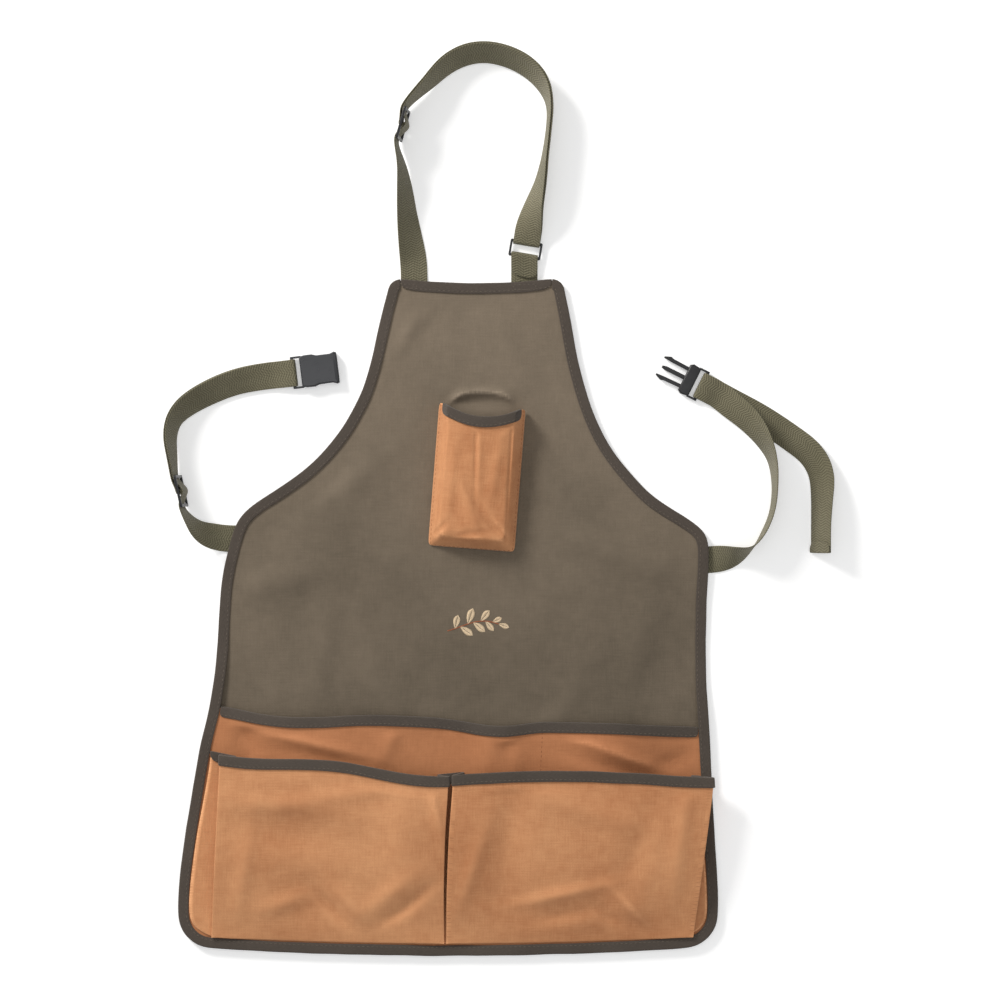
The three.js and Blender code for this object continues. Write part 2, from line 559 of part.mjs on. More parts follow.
// Pleated front pocket: one strip, folded at its sides and twice in its middle. Each point of
// a row across has its place, and its height as a share of the depth plus a number of layers.
const FRONT_ROWS = [0, 0.05, 0.12, 0.2, 0.3, 0.42, 0.54, 0.66, 0.78, 0.87, 1 - TAPE_SHOWN / FRONT_HEIGHT, 1];
const FRONT_COLUMNS = 9; // in each front
const MOUTH_ROOM = CLOTH + 2 * TAPE_LIFT + 4 * GAP; // between cloths that both carry tape
const FRONT_SWELL = 2.4; // how soon the front stands out above the hem
const CREASE_ENDS = 4; // creases fade out over this share of the height, at hem and mouth
const TAPE_ROOM_RISE = 1.6; // how soon the front clears the tape's back leg
function frontRow(height) {
  // The strip keeps one shape under the mouth's tape
  const up = Math.min(1, height / FRONT_ROWS.at(-2));
  const level = (x, share) => mix(HEM + TAPE_INSIDE + GAP, frontMouthHeight(x) - CLOTH_INSET, share);
  const y = level(0, up);
  const left = rowEnds(TAPE_INSIDE + GAP, level(-HALF_WIDTH, up))[0];
  const right = rowEnds(TAPE_INSIDE + GAP, level(HALF_WIDTH, up))[1];
  const depth = FRONT_DEPTH * (1 - (1 - up) ** FRONT_SWELL);
  const creaseFade = ease(CREASE_ENDS * up) * ease(CREASE_ENDS * (1 - up));
  const fold = mix(CLOTH + GAP, MOUTH_ROOM, up);
  const face = Math.max(depth, 2 * fold);
  const foldAt = ({ hem, mouth }) => HALF_WIDTH * mix(hem, mouth, up);
  const leftOut = foldAt(GUSSET_FOLDS.left);
  const rightOut = foldAt(GUSSET_FOLDS.right);
  const rightIn = right - GUSSET_FOLD * mix(1.9, 0.6, up);
  const middle = mix(...rowEnds(CLOTH_INSET, y), PLEAT_ACROSS);
  const [slitLeft, slitRight] = [middle - PLEAT_SLIT / 2 - up, middle + PLEAT_SLIT / 2 + up];
  const [pleatLeft, pleatRight] = [middle - PLEAT_WIDTH / 2, middle + PLEAT_WIDTH / 2];
  const points = [[left, 0], [leftOut + GUSSET_FOLD, 0], [leftOut + GUSSET_FOLD, fold]];
  const addFront = (from, to) => {
    points.push([from, face - fold]);
    for (let k = 0; k <= FRONT_COLUMNS; k++) {
      const share = k / FRONT_COLUMNS;
      const x = mix(from, to, share);
      const inner = ease(Math.min(k, FRONT_COLUMNS - k) / 2);
      const crease = creaseHeight(FRONT_CREASES, x, y) * inner * creaseFade;
      const flat = mix(face, depth, inner);
      points.push([x, flat + crease]);
    }
    points.push([to, face - fold]);
  };
  addFront(leftOut, slitLeft);
  points.push([pleatLeft, fold], [pleatLeft, 0], [pleatRight, 0], [pleatRight, fold]);
  addFront(slitRight, rightOut);
  points.push([rightIn, fold], [rightIn, 0], [right, 0]);
  const tapeRoom = TAPE_LIFT * ease(TAPE_ROOM_RISE * up);
  const base = underBody(middle, y) + 2 * (CLOTH + GAP) + TAPE_LIFT + CLOTH / 2 + tapeRoom;
  return points.map(([x, z]) => new THREE.Vector3(x, settle(x, level(x, height)), base + z));
}

function frontPocket() {
  const grid = FRONT_ROWS.map(frontRow);
  const tape = mouthBinding("front_pocket_binding", grid.at(-1), new THREE.Vector3(0, -1, 0));
  return [cloth("front_pocket", look.tan, CLOTH, grid), tape];
}

// Boxed pocket on the bib, a tray of cloth that is open towards the bib's top. Shares of its
// depth: its walls half way in, the swell of its face, and its depth at its low end. It sags
// from a share of its height up.
const BIB_WALL_RISE = 0.55;
const BIB_FACE_SWELL = 0.12;
const BIB_LOW_DEPTH = 0.8;
const BIB_SAG_FROM = 0.4;
const BIB_FACE_COLUMNS = 6;
const BIB_ROWS = [0, 0.07, 0.2, 0.38, 0.58, 0.76, 0.91, 1];
function bibPocket() {
  const floor = underBody(BIB_POCKET_PLACE.x, BIB_POCKET_PLACE.y) + CLOTH + GAP + CLOTH / 2;
  const half = BIB_POCKET_WIDTH / 2;
  const wallMiddle = half - BIB_POCKET_WALL / 2;
  const rowAt = (up, raised) => {
    const columns = [[-half, 0], [-wallMiddle, BIB_WALL_RISE]];
    for (let k = 0; k <= BIB_FACE_COLUMNS; k++) {
      const share = (2 * k) / BIB_FACE_COLUMNS - 1;
      columns.push([share * (half - BIB_POCKET_WALL), 1 + BIB_FACE_SWELL * (1 - share * share)]);
    }
    columns.push([wallMiddle, BIB_WALL_RISE], [half, 0]);
    return columns.map(([x, z]) => {
      const sag = BIB_POCKET_SAG * (1 - (x / half) ** 2) * ease((up - BIB_SAG_FROM) / (1 - BIB_SAG_FROM));
      const point = new THREE.Vector2(x, (up - 0.5) * BIB_POCKET_HEIGHT - sag);
      point.rotateAround(new THREE.Vector2(), BIB_POCKET_LEAN).add(BIB_POCKET_PLACE);
      const depth = BIB_POCKET_DEPTH * mix(BIB_LOW_DEPTH, 1, up) * raised;
      return new THREE.Vector3(point.x, point.y, floor + z * depth);
    });
  };
  const grid = BIB_ROWS.map((up, j) => rowAt(up, j === 0 ? 0 : 1));
  const down = new THREE.Vector3(0, -1, 0).applyAxisAngle(UP, BIB_POCKET_LEAN);
  const mouth = grid.at(-1).slice(1, -1);
  const tape = mouthBinding("bib_pocket_binding", mouth, down);
  return [cloth("bib_pocket", look.tan, CLOTH, grid), tape];
}

// A strap's route over the floor, by the distance along it. A slider on edge lifts it.
const SLIDER_HOLD = SLIDER_SIDE + (STRAP_SLOT - STRAP_WIDTH) / 2;
const ROUTE_STEPS = 12;
function layRoute(stations, seat, width, height) {
  const points = stations.map(({ x, y }) => new THREE.Vector3(seat.x + x * width, seat.y + y * height, 0));
  const curve = new THREE.CatmullRomCurve3(points, false, "centripetal");
  const last = stations.length - 1;
  curve.arcLengthDivisions = last * ROUTE_STEPS;
  const length = curve.getLength();
  const slider = stations.findIndex((station) => station.slider);
  const sliderAt = slider < 0 ? 0 : curve.getLengths()[slider * ROUTE_STEPS];
  const column = (name, place) => {
    const k = Math.min(last - 1, Math.floor(place));
    return mix(stations[k][name] ?? 0, stations[k + 1][name] ?? 0, place - k);
  };
  // The frame of the webbing there: along it, across it, and out of its face
  const frame = (distance, halfStack) => {
    const t = curve.getUtoTmapping(THREE.MathUtils.clamp(distance / length, 0, 1));
    const along = curve.getTangent(t).normalize();
    const turn = THREE.MathUtils.degToRad(column("turn", t * last));
    const beside = new THREE.Vector3(-along.y, along.x, 0);
    const across = beside.clone().multiplyScalar(Math.cos(turn)).addScaledVector(UP, Math.sin(turn));
    const out = UP.clone().multiplyScalar(Math.cos(turn)).addScaledVector(beside, -Math.sin(turn));
    const at = curve.getPoint(t);
    at.z = (STRAP_WIDTH / 2) * Math.abs(Math.sin(turn)) + halfStack * Math.abs(Math.cos(turn));
    at.z += column("over", t * last) * STRAP_LIFT;
    if (sliderAt > 0) at.z += SLIDER_HOLD * ease(2 - Math.abs(distance - sliderAt) / SLIDER_LENGTH);
    return { at, along, across, out };
  };
  return { frame, length, sliderAt };
}

// One row of a strap across its width
const strapRow = ({ at, across, out }, offset) =>
  [-0.5, 0.5].map((side) =>
    at.clone().addScaledVector(out, offset).addScaledVector(across, side * STRAP_WIDTH),
  );

// Rows of a strap round a bar, from one side of it to the other. The bar may be flattened.
const WRAP_STEPS = 6;
function wrapRows({ at, along, across, out }, radius, side, forward, reach = radius) {
  return Array.from({ length: WRAP_STEPS - 1 }, (_, k) => {
    const turn = ((k + 1) / WRAP_STEPS) * Math.PI;
    const place = at.clone().addScaledVector(out, side * radius * Math.cos(turn));
    place.addScaledVector(along, forward * reach * Math.sin(turn));
    return strapRow({ at: place, across, out }, 0);
  });
}

const between = (from, to, step) => {
  const count = Math.max(1, Math.round(Math.abs(to - from) / step));
  return Array.from({ length: count + 1 }, (_, k) => mix(from, to, k / count));
};

// A strap threaded through its slider, round an eye at the end of its route, and back to be
// sewn round the slider's middle bar. Offsets are measured out of its face.
const STRAP_STEP = 11;
const EYE_STEP = 6;
const EYE_RUN = 24; // from the eye to where the two layers lie together
const PAIR = (WEBBING + GAP) / 2;
function adjustableStrap(name, route) {
  const { frame, length, sliderAt } = route;
  const overBar = SLIDER_WALL / 2 + GAP + WEBBING / 2;
  const layer = WEBBING + GAP;
  const nearEye = (distance) => ease((distance - (length - EYE_RUN)) / (EYE_RUN - BAR));
  // Places by the slider: along the strap from its middle bar, and out of the strap's face
  const threaded = [
    { along: -2.2 * END_BAR, out: 0 },
    { along: -1.25 * END_BAR, out: -overBar },
    { along: -0.75 * END_BAR, out: -overBar },
    { along: -0.15 * END_BAR, out: overBar + layer },
    { along: 0.15 * END_BAR, out: overBar + layer },
    { along: 0.8 * END_BAR, out: -overBar },
    { along: 1.25 * END_BAR, out: -overBar },
    { along: 2.6 * END_BAR, out: PAIR },
  ];
  const sewn = [
    { along: 0, out: -overBar },
    { along: 0.25 * END_BAR, out: -overBar },
    { along: 0.75 * END_BAR, out: -overBar - layer },
    { along: 1.25 * END_BAR, out: -overBar - layer },
    { along: 2.6 * END_BAR, out: -PAIR },
  ];
  const offset = (table, eyeSide) => (distance) =>
    mix(read(table, "along", distance - sliderAt, "out"), eyeSide * WRAP_RADIUS, nearEye(distance));
  const [out, back] = [offset(threaded, 1), offset(sewn, -1)];
  const halfStack = (distance) =>
    WEBBING / 2 + Math.max(Math.abs(out(distance)), distance > sliderAt ? Math.abs(back(distance)) : 0);
  const at = (distance) => frame(distance, halfStack(distance));
  const weave = threaded.map(({ along }) => sliderAt + along);
  const doubled = [
    ...between(weave.at(-1), length - EYE_RUN, STRAP_STEP),
    ...between(length - EYE_RUN + EYE_STEP, length, EYE_STEP),
  ];
  const going = [...between(0, weave[0], STRAP_STEP), ...weave.slice(1, -1), ...doubled];
  const backOver = sewn.slice(0, -1).map(({ along }) => sliderAt + along);
  const coming = [...backOver, ...doubled].reverse();
  const rows = going.map((distance) => strapRow(at(distance), out(distance)));
  rows.push(...wrapRows(at(length), WRAP_RADIUS, 1, 1));
  rows.push(...coming.map((distance) => strapRow(at(distance), back(distance))));
  rows.push(...wrapRows(at(sliderAt), overBar, -1, -1, WRAP_RADIUS + GAP));
  rows.push(strapRow(at(sliderAt), overBar), strapRow(at(sliderAt + 0.12 * END_BAR), overBar));
  return { mesh: cloth(name, look.webbing, WEBBING, rows), eye: at(length), slider: at(sliderAt) };
}

// Manifold solids, for the cuts and joins in the hardware
const wasm = await Module();
wasm.setup();
function solid(geometry, x = 0, y = 0, z = 0) {
  const moved = geometry.clone().translate(x, y, z);
  moved.deleteAttribute("normal");
  moved.deleteAttribute("uv");
  const merged = mergeVertices(moved, 1e-4);
  const vertProperties = merged.attributes.position.array;
  const triVerts = new Uint32Array(merged.index.array);
  return new wasm.Manifold(new wasm.Mesh({ numProp: 3, vertProperties, triVerts }));
}
function meshOf(name, material, shape) {
  const { vertProperties, triVerts } = shape.getMesh();
  const geometry = new THREE.BufferGeometry();
  geometry.setAttribute("position", new THREE.BufferAttribute(vertProperties, 3));
  geometry.setIndex(new THREE.BufferAttribute(triVerts, 1));
  geometry.computeVertexNormals();
  const mesh = new THREE.Mesh(geometry, material);
  mesh.name = name;
  return mesh;
}

// Stands a piece of hardware in a strap's frame: its X along the strap, its Z out of it
function seat(mesh, { at, along, across, out }) {
  mesh.quaternion.setFromRotationMatrix(new THREE.Matrix4().makeBasis(along, across, out));
  mesh.position.copy(at);
  return mesh;
}

function plate(points, height, bevel) {
  const shape = new THREE.Shape(points.map(([x, y]) => new THREE.Vector2(x, y)));
  const depth = height - 2 * bevel;
  const options = { depth, bevelThickness: bevel, bevelSize: bevel, bevelOffset: -bevel, bevelSegments: 1 };
  return new THREE.ExtrudeGeometry(shape, options).translate(0, 0, -depth / 2);
}
const bar = (width) => new THREE.CylinderGeometry(BAR / 2, BAR / 2, width, 10);

// A frame of flat sides joined by round bars, with webbing slots between the bars
function barFrame(name, barPlaces, wall) {
  const [from, to] = [barPlaces[0] - BAR / 2, barPlaces.at(-1) + BAR / 2];
  const inner = STRAP_SLOT / 2;
  const outer = inner + SLIDER_SIDE;
  const side = [[from, inner], [to, inner], [to, outer - 1], [to - 1, outer]];
  side.push([from + 1, outer], [from, outer - 1]);
  let shape = solid(plate(side, wall, 0.3));
  shape = shape.add(shape.mirror([0, 1, 0]));
  for (const x of barPlaces) shape = shape.add(solid(bar(outer + inner).scale(1, 1, wall / BAR), x));
  return meshOf(name, look.plastic, shape);
}

function slider(name, frame) {
  return seat(barFrame(name, [-END_BAR, 0, END_BAR], SLIDER_WALL), frame);
}

// The buckle's halves share the arms and bar that hold the webbing
const BUCKLE_ARM = 7; // from bar to body
function strapArms() {
  const half = BUCKLE_WIDTH / 2;
  const arm = new THREE.BoxGeometry(BUCKLE_ARM + BAR, half - STRAP_SLOT / 2, BAR);
  const middle = (half + STRAP_SLOT / 2) / 2;
  const x = BUCKLE_ARM / 2;
  return solid(arm, x, middle).add(solid(arm, x, -middle)).add(solid(bar(BUCKLE_WIDTH - GAP)));
}

// The socket is open at its mouth, and through both sides where the prongs snap in
const CAVITY_HEIGHT = BUCKLE_HEIGHT - 2 * BUCKLE_WALL;
const SIDE_WINDOW = 0.34; // of the socket's length
const PLUG_BODY = 11; // from the arms to the prongs
function buckleSocket(frame) {
  const half = BUCKLE_WIDTH / 2;
  const end = SOCKET_LENGTH;
  const lift = BUCKLE_HEIGHT / 2 - frame.at.z;
  const outline = [[BUCKLE_ARM, -half + 1], [BUCKLE_ARM + 5, -half], [end * 0.45, -half]];
  outline.push([end * 0.55, -half + 1.5], [end * 0.85, -half + 1.5], [end - 2, -half], [end, -half + 1]);
  const mirrored = outline.map(([x, y]) => [x, -y]).reverse();
  let shape = solid(plate([...outline, ...mirrored], BUCKLE_HEIGHT, 1.2), 0, 0, lift).add(strapArms());
  const depth = end - BUCKLE_ARM - 2 * BUCKLE_WALL;
  const cavity = new THREE.BoxGeometry(depth, BUCKLE_WIDTH - 3 - 2 * BUCKLE_WALL, CAVITY_HEIGHT);
  shape = shape.subtract(solid(cavity, end + 1 - depth / 2, 0, lift));
  const window = new THREE.BoxGeometry(end * SIDE_WINDOW, 2 * BUCKLE_WIDTH, CAVITY_HEIGHT);
  shape = shape.subtract(solid(window, end / 2, 0, lift));
  return seat(meshOf("buckle_socket", look.plastic, shape), frame);
}

function bucklePlug(frame) {
  const half = BUCKLE_WIDTH / 2;
  const body = BUCKLE_ARM + PLUG_BODY;
  const tip = body + PRONG_LENGTH;
  const thick = CAVITY_HEIGHT - 4 * GAP;
  const block = [[BUCKLE_ARM, -half + 1], [body - 3, -half], [body, -half + 2]];
  block.push([body, half - 2], [body - 3, half], [BUCKLE_ARM, half - 1]);
  const height = BUCKLE_HEIGHT - BUCKLE_WALL;
  let shape = solid(plate(block, height, 1), 0, 0, height / 2 - frame.at.z).add(strapArms());
  const guide = [[body - 1, -2], [tip - 6, -2], [tip - 2, -1], [tip - 2, 1], [tip - 6, 2], [body - 1, 2]];
  shape = shape.add(solid(plate(guide, thick, 0.5)));
  const reach = half - BUCKLE_WALL - 2;
  const prong = [[body - 1, reach - 4], [tip - 8, reach - 3.5], [tip, reach - 3], [tip, reach - 1.5]];
  prong.push([tip - 6, reach + 1], [tip - 9, reach], [body - 1, reach - 0.5]);
  const right = solid(plate(prong, thick, 0.5));
  shape = shape.add(right).add(right.mirror([0, 1, 0]));
  const reversed = { ...frame, across: frame.across.clone().negate(), out: frame.out.clone().negate() };
  return seat(meshOf("buckle_plug", look.plastic, shape), reversed);
}

// Neck: the long strap with its slider, and a short strap that holds the ring
function neck() {
  const place = new THREE.Vector2(leftSide.at(-1).x + STRAP_WIDTH / 2, BIB_TOP);
  const strap = adjustableStrap("neck_strap", layRoute(NECK_ROUTE, place, NECK_SPREAD, NECK_RISE));
  const reach = RING_HEIGHT - BAR;
  const ringFrame = strap.eye;
  const ring = seat(barFrame("neck_ring", [0, reach], BAR), ringFrame);
  const low = ringFrame.at.clone().addScaledVector(ringFrame.along, reach);
  const start = new THREE.Vector2(low.x, BIB_TOP - SEWN_UNDER);
  const length = low.y - start.y;
  const along = ringFrame.along.clone().negate();
  const across = ringFrame.across.clone().negate();
  const row = (share, z) => {
    const at = new THREE.Vector3(start.x, start.y + share * length, z);
    return strapRow({ at, across, out: UP }, 0);
  };
  const lowZ = low.z - WRAP_RADIUS;
  const rows = between(0, 1, 0.25).map((share) => row(share, lowZ));
  rows.push(...wrapRows({ at: low, along, across, out: UP }, WRAP_RADIUS, -1, 1));
  const top = (SEWN_UNDER + 1) / length;
  for (const share of [1, mix(top, 1, 0.6), top]) {
    const rise = ease((share - top) / (1 - top));
    rows.push(row(share, mix(lowZ + STRAP_LIFT, low.z + WRAP_RADIUS, rise)));
  }
  const stub = cloth("neck_stub", look.webbing, WEBBING, rows);
  return [strap.mesh, slider("neck_slider", strap.slider), ring, stub];
}

function leftWaist() {
  const y = HEM + LEFT_STRAP_UP * APRON_LENGTH;
  const place = new THREE.Vector2(rowEnds(0, y)[0], y);
  const route = layRoute(LEFT_ROUTE, place, LEFT_LOOP_WIDTH, LEFT_LOOP_HEIGHT);
  const strap = adjustableStrap("waist_strap_left", route);
  return [strap.mesh, slider("waist_slider", strap.slider), buckleSocket(strap.eye)];
}

// Right waist strap, over the plug's bar and back below itself to a folded end
function rightWaist() {
  const y = HEM + RIGHT_STRAP_UP * APRON_LENGTH;
  const place = new THREE.Vector2(rowEnds(0, y)[1], y);
  const out = layRoute(RIGHT_ROUTE, place, RIGHT_LOOP_WIDTH, RIGHT_LOOP_HEIGHT);
  const tail = layRoute(TAIL_ROUTE, place, RIGHT_LOOP_WIDTH, RIGHT_LOOP_HEIGHT);
  const nearEye = (distance) => ease((distance - (out.length - EYE_RUN)) / (EYE_RUN - BAR));
  const halfStack = (distance) => WEBBING / 2 + WRAP_RADIUS * nearEye(distance);
  const at = (distance) => out.frame(distance, halfStack(distance));
  const rows = between(0, out.length, STRAP_STEP / 1.5).map((distance) =>
    strapRow(at(distance), -WRAP_RADIUS * nearEye(distance)),
  );
  const eye = at(out.length);
  rows.push(...wrapRows(eye, WRAP_RADIUS, -1, 1));
  for (const distance of between(0, tail.length, STRAP_STEP))
    rows.push(strapRow(tail.frame(distance, WEBBING / 2), 0));
  const end = tail.frame(tail.length, WEBBING / 2);
  const turnAt = { ...end, at: end.at.clone().addScaledVector(end.out, PAIR) };
  rows.push(...wrapRows(turnAt, PAIR, -1, 1));
  for (const back of [0, FOLDED_END])
    rows.push(strapRow(tail.frame(tail.length - back, WEBBING / 2), 2 * PAIR));
  return [cloth("waist_strap_right", look.webbing, WEBBING, rows), bucklePlug(eye)];
}

const apron = new THREE.Group();
apron.name = "gardening_apron";
apron.add(body(), edgeBinding(), bibBinding());
apron.add(...rearPocket(), ...frontPocket(), ...bibPocket());
apron.add(...neck(), ...leftWaist(), ...rightWaist());

export default apron;
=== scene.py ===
# %% [markdown]
# # A gardening apron, laid flat
#
# The apron is cut from waxed canvas: an olive body, two wide tan pockets over each other at
# the hem and a small boxed pocket on the bib. Folded tape binds every raw edge, and webbing
# straps with plastic buckles hold it on. The frame gives the sizes and places of all of it, so
# this lesson only has to dress it: fine cloth, woven surfaces, thread, plastic and light.

# %% Start from the frame
import math

import bmesh
import bpy
from mathutils import Matrix, Vector, noise
from mathutils.bvhtree import BVHTree


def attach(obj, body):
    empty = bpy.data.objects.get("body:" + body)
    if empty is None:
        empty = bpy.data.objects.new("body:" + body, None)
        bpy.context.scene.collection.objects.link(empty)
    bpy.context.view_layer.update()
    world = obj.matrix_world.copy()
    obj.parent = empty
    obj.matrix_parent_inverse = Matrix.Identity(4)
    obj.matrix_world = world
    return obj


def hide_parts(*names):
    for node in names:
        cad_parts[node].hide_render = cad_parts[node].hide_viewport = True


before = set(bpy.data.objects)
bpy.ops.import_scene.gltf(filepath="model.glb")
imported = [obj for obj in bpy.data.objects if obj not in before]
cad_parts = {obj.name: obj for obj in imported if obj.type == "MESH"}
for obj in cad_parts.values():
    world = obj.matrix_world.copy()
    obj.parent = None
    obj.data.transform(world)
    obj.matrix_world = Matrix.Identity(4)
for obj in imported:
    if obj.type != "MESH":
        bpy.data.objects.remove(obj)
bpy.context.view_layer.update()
MM = 0.001
NOISE_SEED = 7
noise.seed_set(NOISE_SEED)  # without a seed, Blender draws its noise vectors by the clock
print("frame of", len(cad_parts), "solids")

# %% [markdown]
# ## Camera, floor and light
#
# A product photograph of flat cloth is taken straight from above with a long lens, so that
# nothing leans. One large soft lamp at the upper left draws the folds, a weaker one at the
# right keeps their shadows open, and a pale floor with a bright world does the rest. A sun
# would be simpler, but its hard shadows hide the weave.

# %% Camera
VIEW_CENTRE = Vector((0.048, 0.108, 0.01))
VIEW_SIDE = 0.93
LENS = 100.0
SENSOR = 36.0

camera = bpy.data.objects.new("camera", bpy.data.cameras.new("camera"))
camera.data.lens = LENS
camera.data.sensor_width = SENSOR
distance = VIEW_SIDE * LENS / SENSOR
camera.location = VIEW_CENTRE + Vector((0, 0, distance))
bpy.context.scene.collection.objects.link(camera)
bpy.context.scene.camera = camera
print("camera", round(distance, 2), "m above the cloth")

# %% Objects and plain materials


def new_object(name, mesh):
    obj = bpy.data.objects.new(name, mesh)
    bpy.context.scene.collection.objects.link(obj)
    return obj


def object_of(bm, name):
    mesh = bpy.data.meshes.new(name)
    bm.to_mesh(mesh)
    bm.free()
    return new_object(name, mesh)


def smooth(mesh):
    for polygon in mesh.polygons:
        polygon.use_smooth = True


def set_shader(material, settings):
    """Sets sockets of a material's surface shader, or links outputs to them."""
    shader = material.node_tree.nodes["Principled BSDF"]
    for name, value in settings.items():
        if isinstance(value, bpy.types.NodeSocket):
            material.node_tree.links.new(value, shader.inputs[name])
        else:
            shader.inputs[name].default_value = value


def simple_material(name, tint, roughness):
    material = bpy.data.materials.new(name)
    material.use_nodes = True
    set_shader(material, {"Base Color": tint, "Roughness": roughness})
    return material


# %% Floor
FLOOR_SIDE = 12.0
FLOOR_PAINT = (0.9, 0.9, 0.9, 1)
FLOOR_ROUGHNESS = 0.9
FLOOR_GLOW = 0.3
WHITE = (1, 1, 1, 1)

bm = bmesh.new()
bmesh.ops.create_grid(bm, x_segments=1, y_segments=1, size=FLOOR_SIDE / 2)
floor = object_of(bm, "floor")
white_floor = simple_material("white_floor", FLOOR_PAINT, FLOOR_ROUGHNESS)
set_shader(white_floor, {"Emission Color": WHITE, "Emission Strength": FLOOR_GLOW})
floor.data.materials.append(white_floor)
print("floor", FLOOR_SIDE, "m wide")

# %% Lamps and world
LAMPS = [
    {"name": "key", "place": (-1.8, 2.0, 1.25), "size": 0.8, "watts": 92, "tint": (1, 0.98, 0.95)},
    {"name": "fill", "place": (1.9, -0.9, 2.1), "size": 1.8, "watts": 8, "tint": (0.95, 0.98, 1)},
    {"name": "overhead", "place": (0.1, 0.4, 3.6), "size": 2.4, "watts": 16, "tint": (1, 1, 1)},
]
WORLD_STRENGTH = 0.45

for row in LAMPS:
    lamp = bpy.data.lights.new(row["name"], "AREA")
    lamp.shape = "SQUARE"
    lamp.size = row["size"]
    lamp.energy = row["watts"]
    lamp.color = row["tint"]
    obj = bpy.data.objects.new(row["name"], lamp)
    obj.location = Vector(row["place"])
    obj.rotation_euler = (VIEW_CENTRE - obj.location).to_track_quat("-Z", "Y").to_euler()
    bpy.context.scene.collection.objects.link(obj)
world = bpy.data.worlds.new("studio")
world.use_nodes = True
world.node_tree.nodes["Background"].inputs["Color"].default_value = WHITE
world.node_tree.nodes["Background"].inputs["Strength"].default_value = WORLD_STRENGTH
bpy.context.scene.world = world
bpy.context.scene.view_settings.view_transform = "Standard"
print(len(LAMPS), "soft lamps and a bright world")

# %% [markdown]
# ## Nodes in a few words
#
# A material is a small net of nodes. Written out in full, each takes five lines, so a few
# helpers name the ones used here: a sum, a blend of two colours, stripes, speckles, and a
# ramp that spreads a narrow range of values. Photographs of cloth would be quicker, but they
# carry their own light, and their threads can't follow a strap round a bend.

# %% Colours and node helpers


def colour(red, green, blue):
    """A paint-chart colour from 0 to 255, as Blender's linear light."""
    def linear(value):
        share = value / 255
        return share / 12.92 if share <= 0.04045 else ((share + 0.055) / 1.055) ** 2.4

    return (linear(red), linear(green), linear(blue), 1.0)


def scaled(tint, factor, lift=0.0):
    """A lighter or darker neighbour of a colour."""
    return tuple(min(1.0, factor * part + lift) for part in tint[:3]) + (1.0,)


def add_node(material, kind, settings=(), **inputs):
    """A node with its settings and inputs. Inputs i0, i1 and so on go by their number."""
    node = material.node_tree.nodes.new(kind)
    for key, value in dict(settings).items():
        setattr(node, key, value)
    for key, value in inputs.items():
        numbered = key[0] == "i" and key[1:].isdigit()
        socket = node.inputs[int(key[1:]) if numbered else key]
        if isinstance(value, bpy.types.NodeSocket):
            material.node_tree.links.new(value, socket)
        else:
            socket.default_value = value
    return node


def maths(material, operation, *values):
    inputs = {f"i{k}": value for k, value in enumerate(values)}
    return add_node(material, "ShaderNodeMath", {"operation": operation}, **inputs).outputs[0]


def blend_colour(material, factor, first, second):
    settings = {"data_type": "RGBA", "blend_type": "MIX"}
    return add_node(material, "ShaderNodeMix", settings, i0=factor, i6=first, i7=second).outputs[2]


def bands(material, vector, direction, period):
    """Soft stripes across one axis, from 0 to 1."""
    wave_unit = math.tau / 20
    settings = {"wave_type": "BANDS", "bands_direction": direction, "wave_profile": "SIN"}
    node = add_node(material, "ShaderNodeTexWave", settings, Vector=vector, Scale=wave_unit / period)
    return node.outputs["Fac"]


def speckle(material, vector, size, detail):
    node = add_node(material, "ShaderNodeTexNoise", (), Vector=vector, Scale=1 / size, Detail=detail)
    return node.outputs["Fac"]


def stretched(material, vector, scale):
    return add_node(material, "ShaderNodeMapping", (), Vector=vector, Scale=scale).outputs["Vector"]


def ramp(material, value, low, high):
    inputs = {"Value": value, "From Min": low, "From Max": high}
    return add_node(material, "ShaderNodeMapRange", (), **inputs).outputs["Result"]


def bumped(material, height, strength, distance):
    """A normal that leans with the height of a pattern."""
    node = add_node(material, "ShaderNodeBump", (), Height=height, Strength=strength, Distance=distance)
    return node.outputs["Normal"]


def weave_lay(material):
    """The threads' own directions, in metres."""
    return add_node(material, "ShaderNodeUVMap", {"uv_map": "Weave"}).outputs["UV"]


def place_on(material):
    """The place on the object, in metres."""
    return add_node(material, "ShaderNodeTexCoord").outputs["Object"]


print("a middle grey in linear light", [round(part, 3) for part in colour(128, 128, 128)])

# %% [markdown]
# ## Canvas
#
# Canvas is a plain weave of thick yarn. Two sets of waves at right angles make it: their
# product rises where one thread crosses over the other, like a chequerboard. Yarn is never
# even, so long thin speckles along each direction stand for its slubs. Wax and dye settle
# unevenly, which slow noise gives, and crests are rubbed pale, which each mesh stores as wear.
# A real mesh of threads would be millions of faces for the same look.

# %% Canvas
CANVAS_PITCH = 0.7 * MM
SLUB_WIDTH = 1.3 * MM
SLUB_STRETCH = 0.08
STAIN_SIZE = 120 * MM
MOTTLE_SIZE = 11 * MM
STAIN_SHARE, MOTTLE_SHARE, SLUB_SHARE = 0.45, 0.25, 0.3
# Painted shade: from PALE_FROM down to DARK_FROM the colour darkens, standing in for light that weakens
# towards the hem.
PALE_FROM, DARK_FROM = 250 * MM, -100 * MM
MOTTLE_RELIEF, SLUB_RELIEF = 0.8, 0.6
CANVAS_BUMP = 0.22 * MM


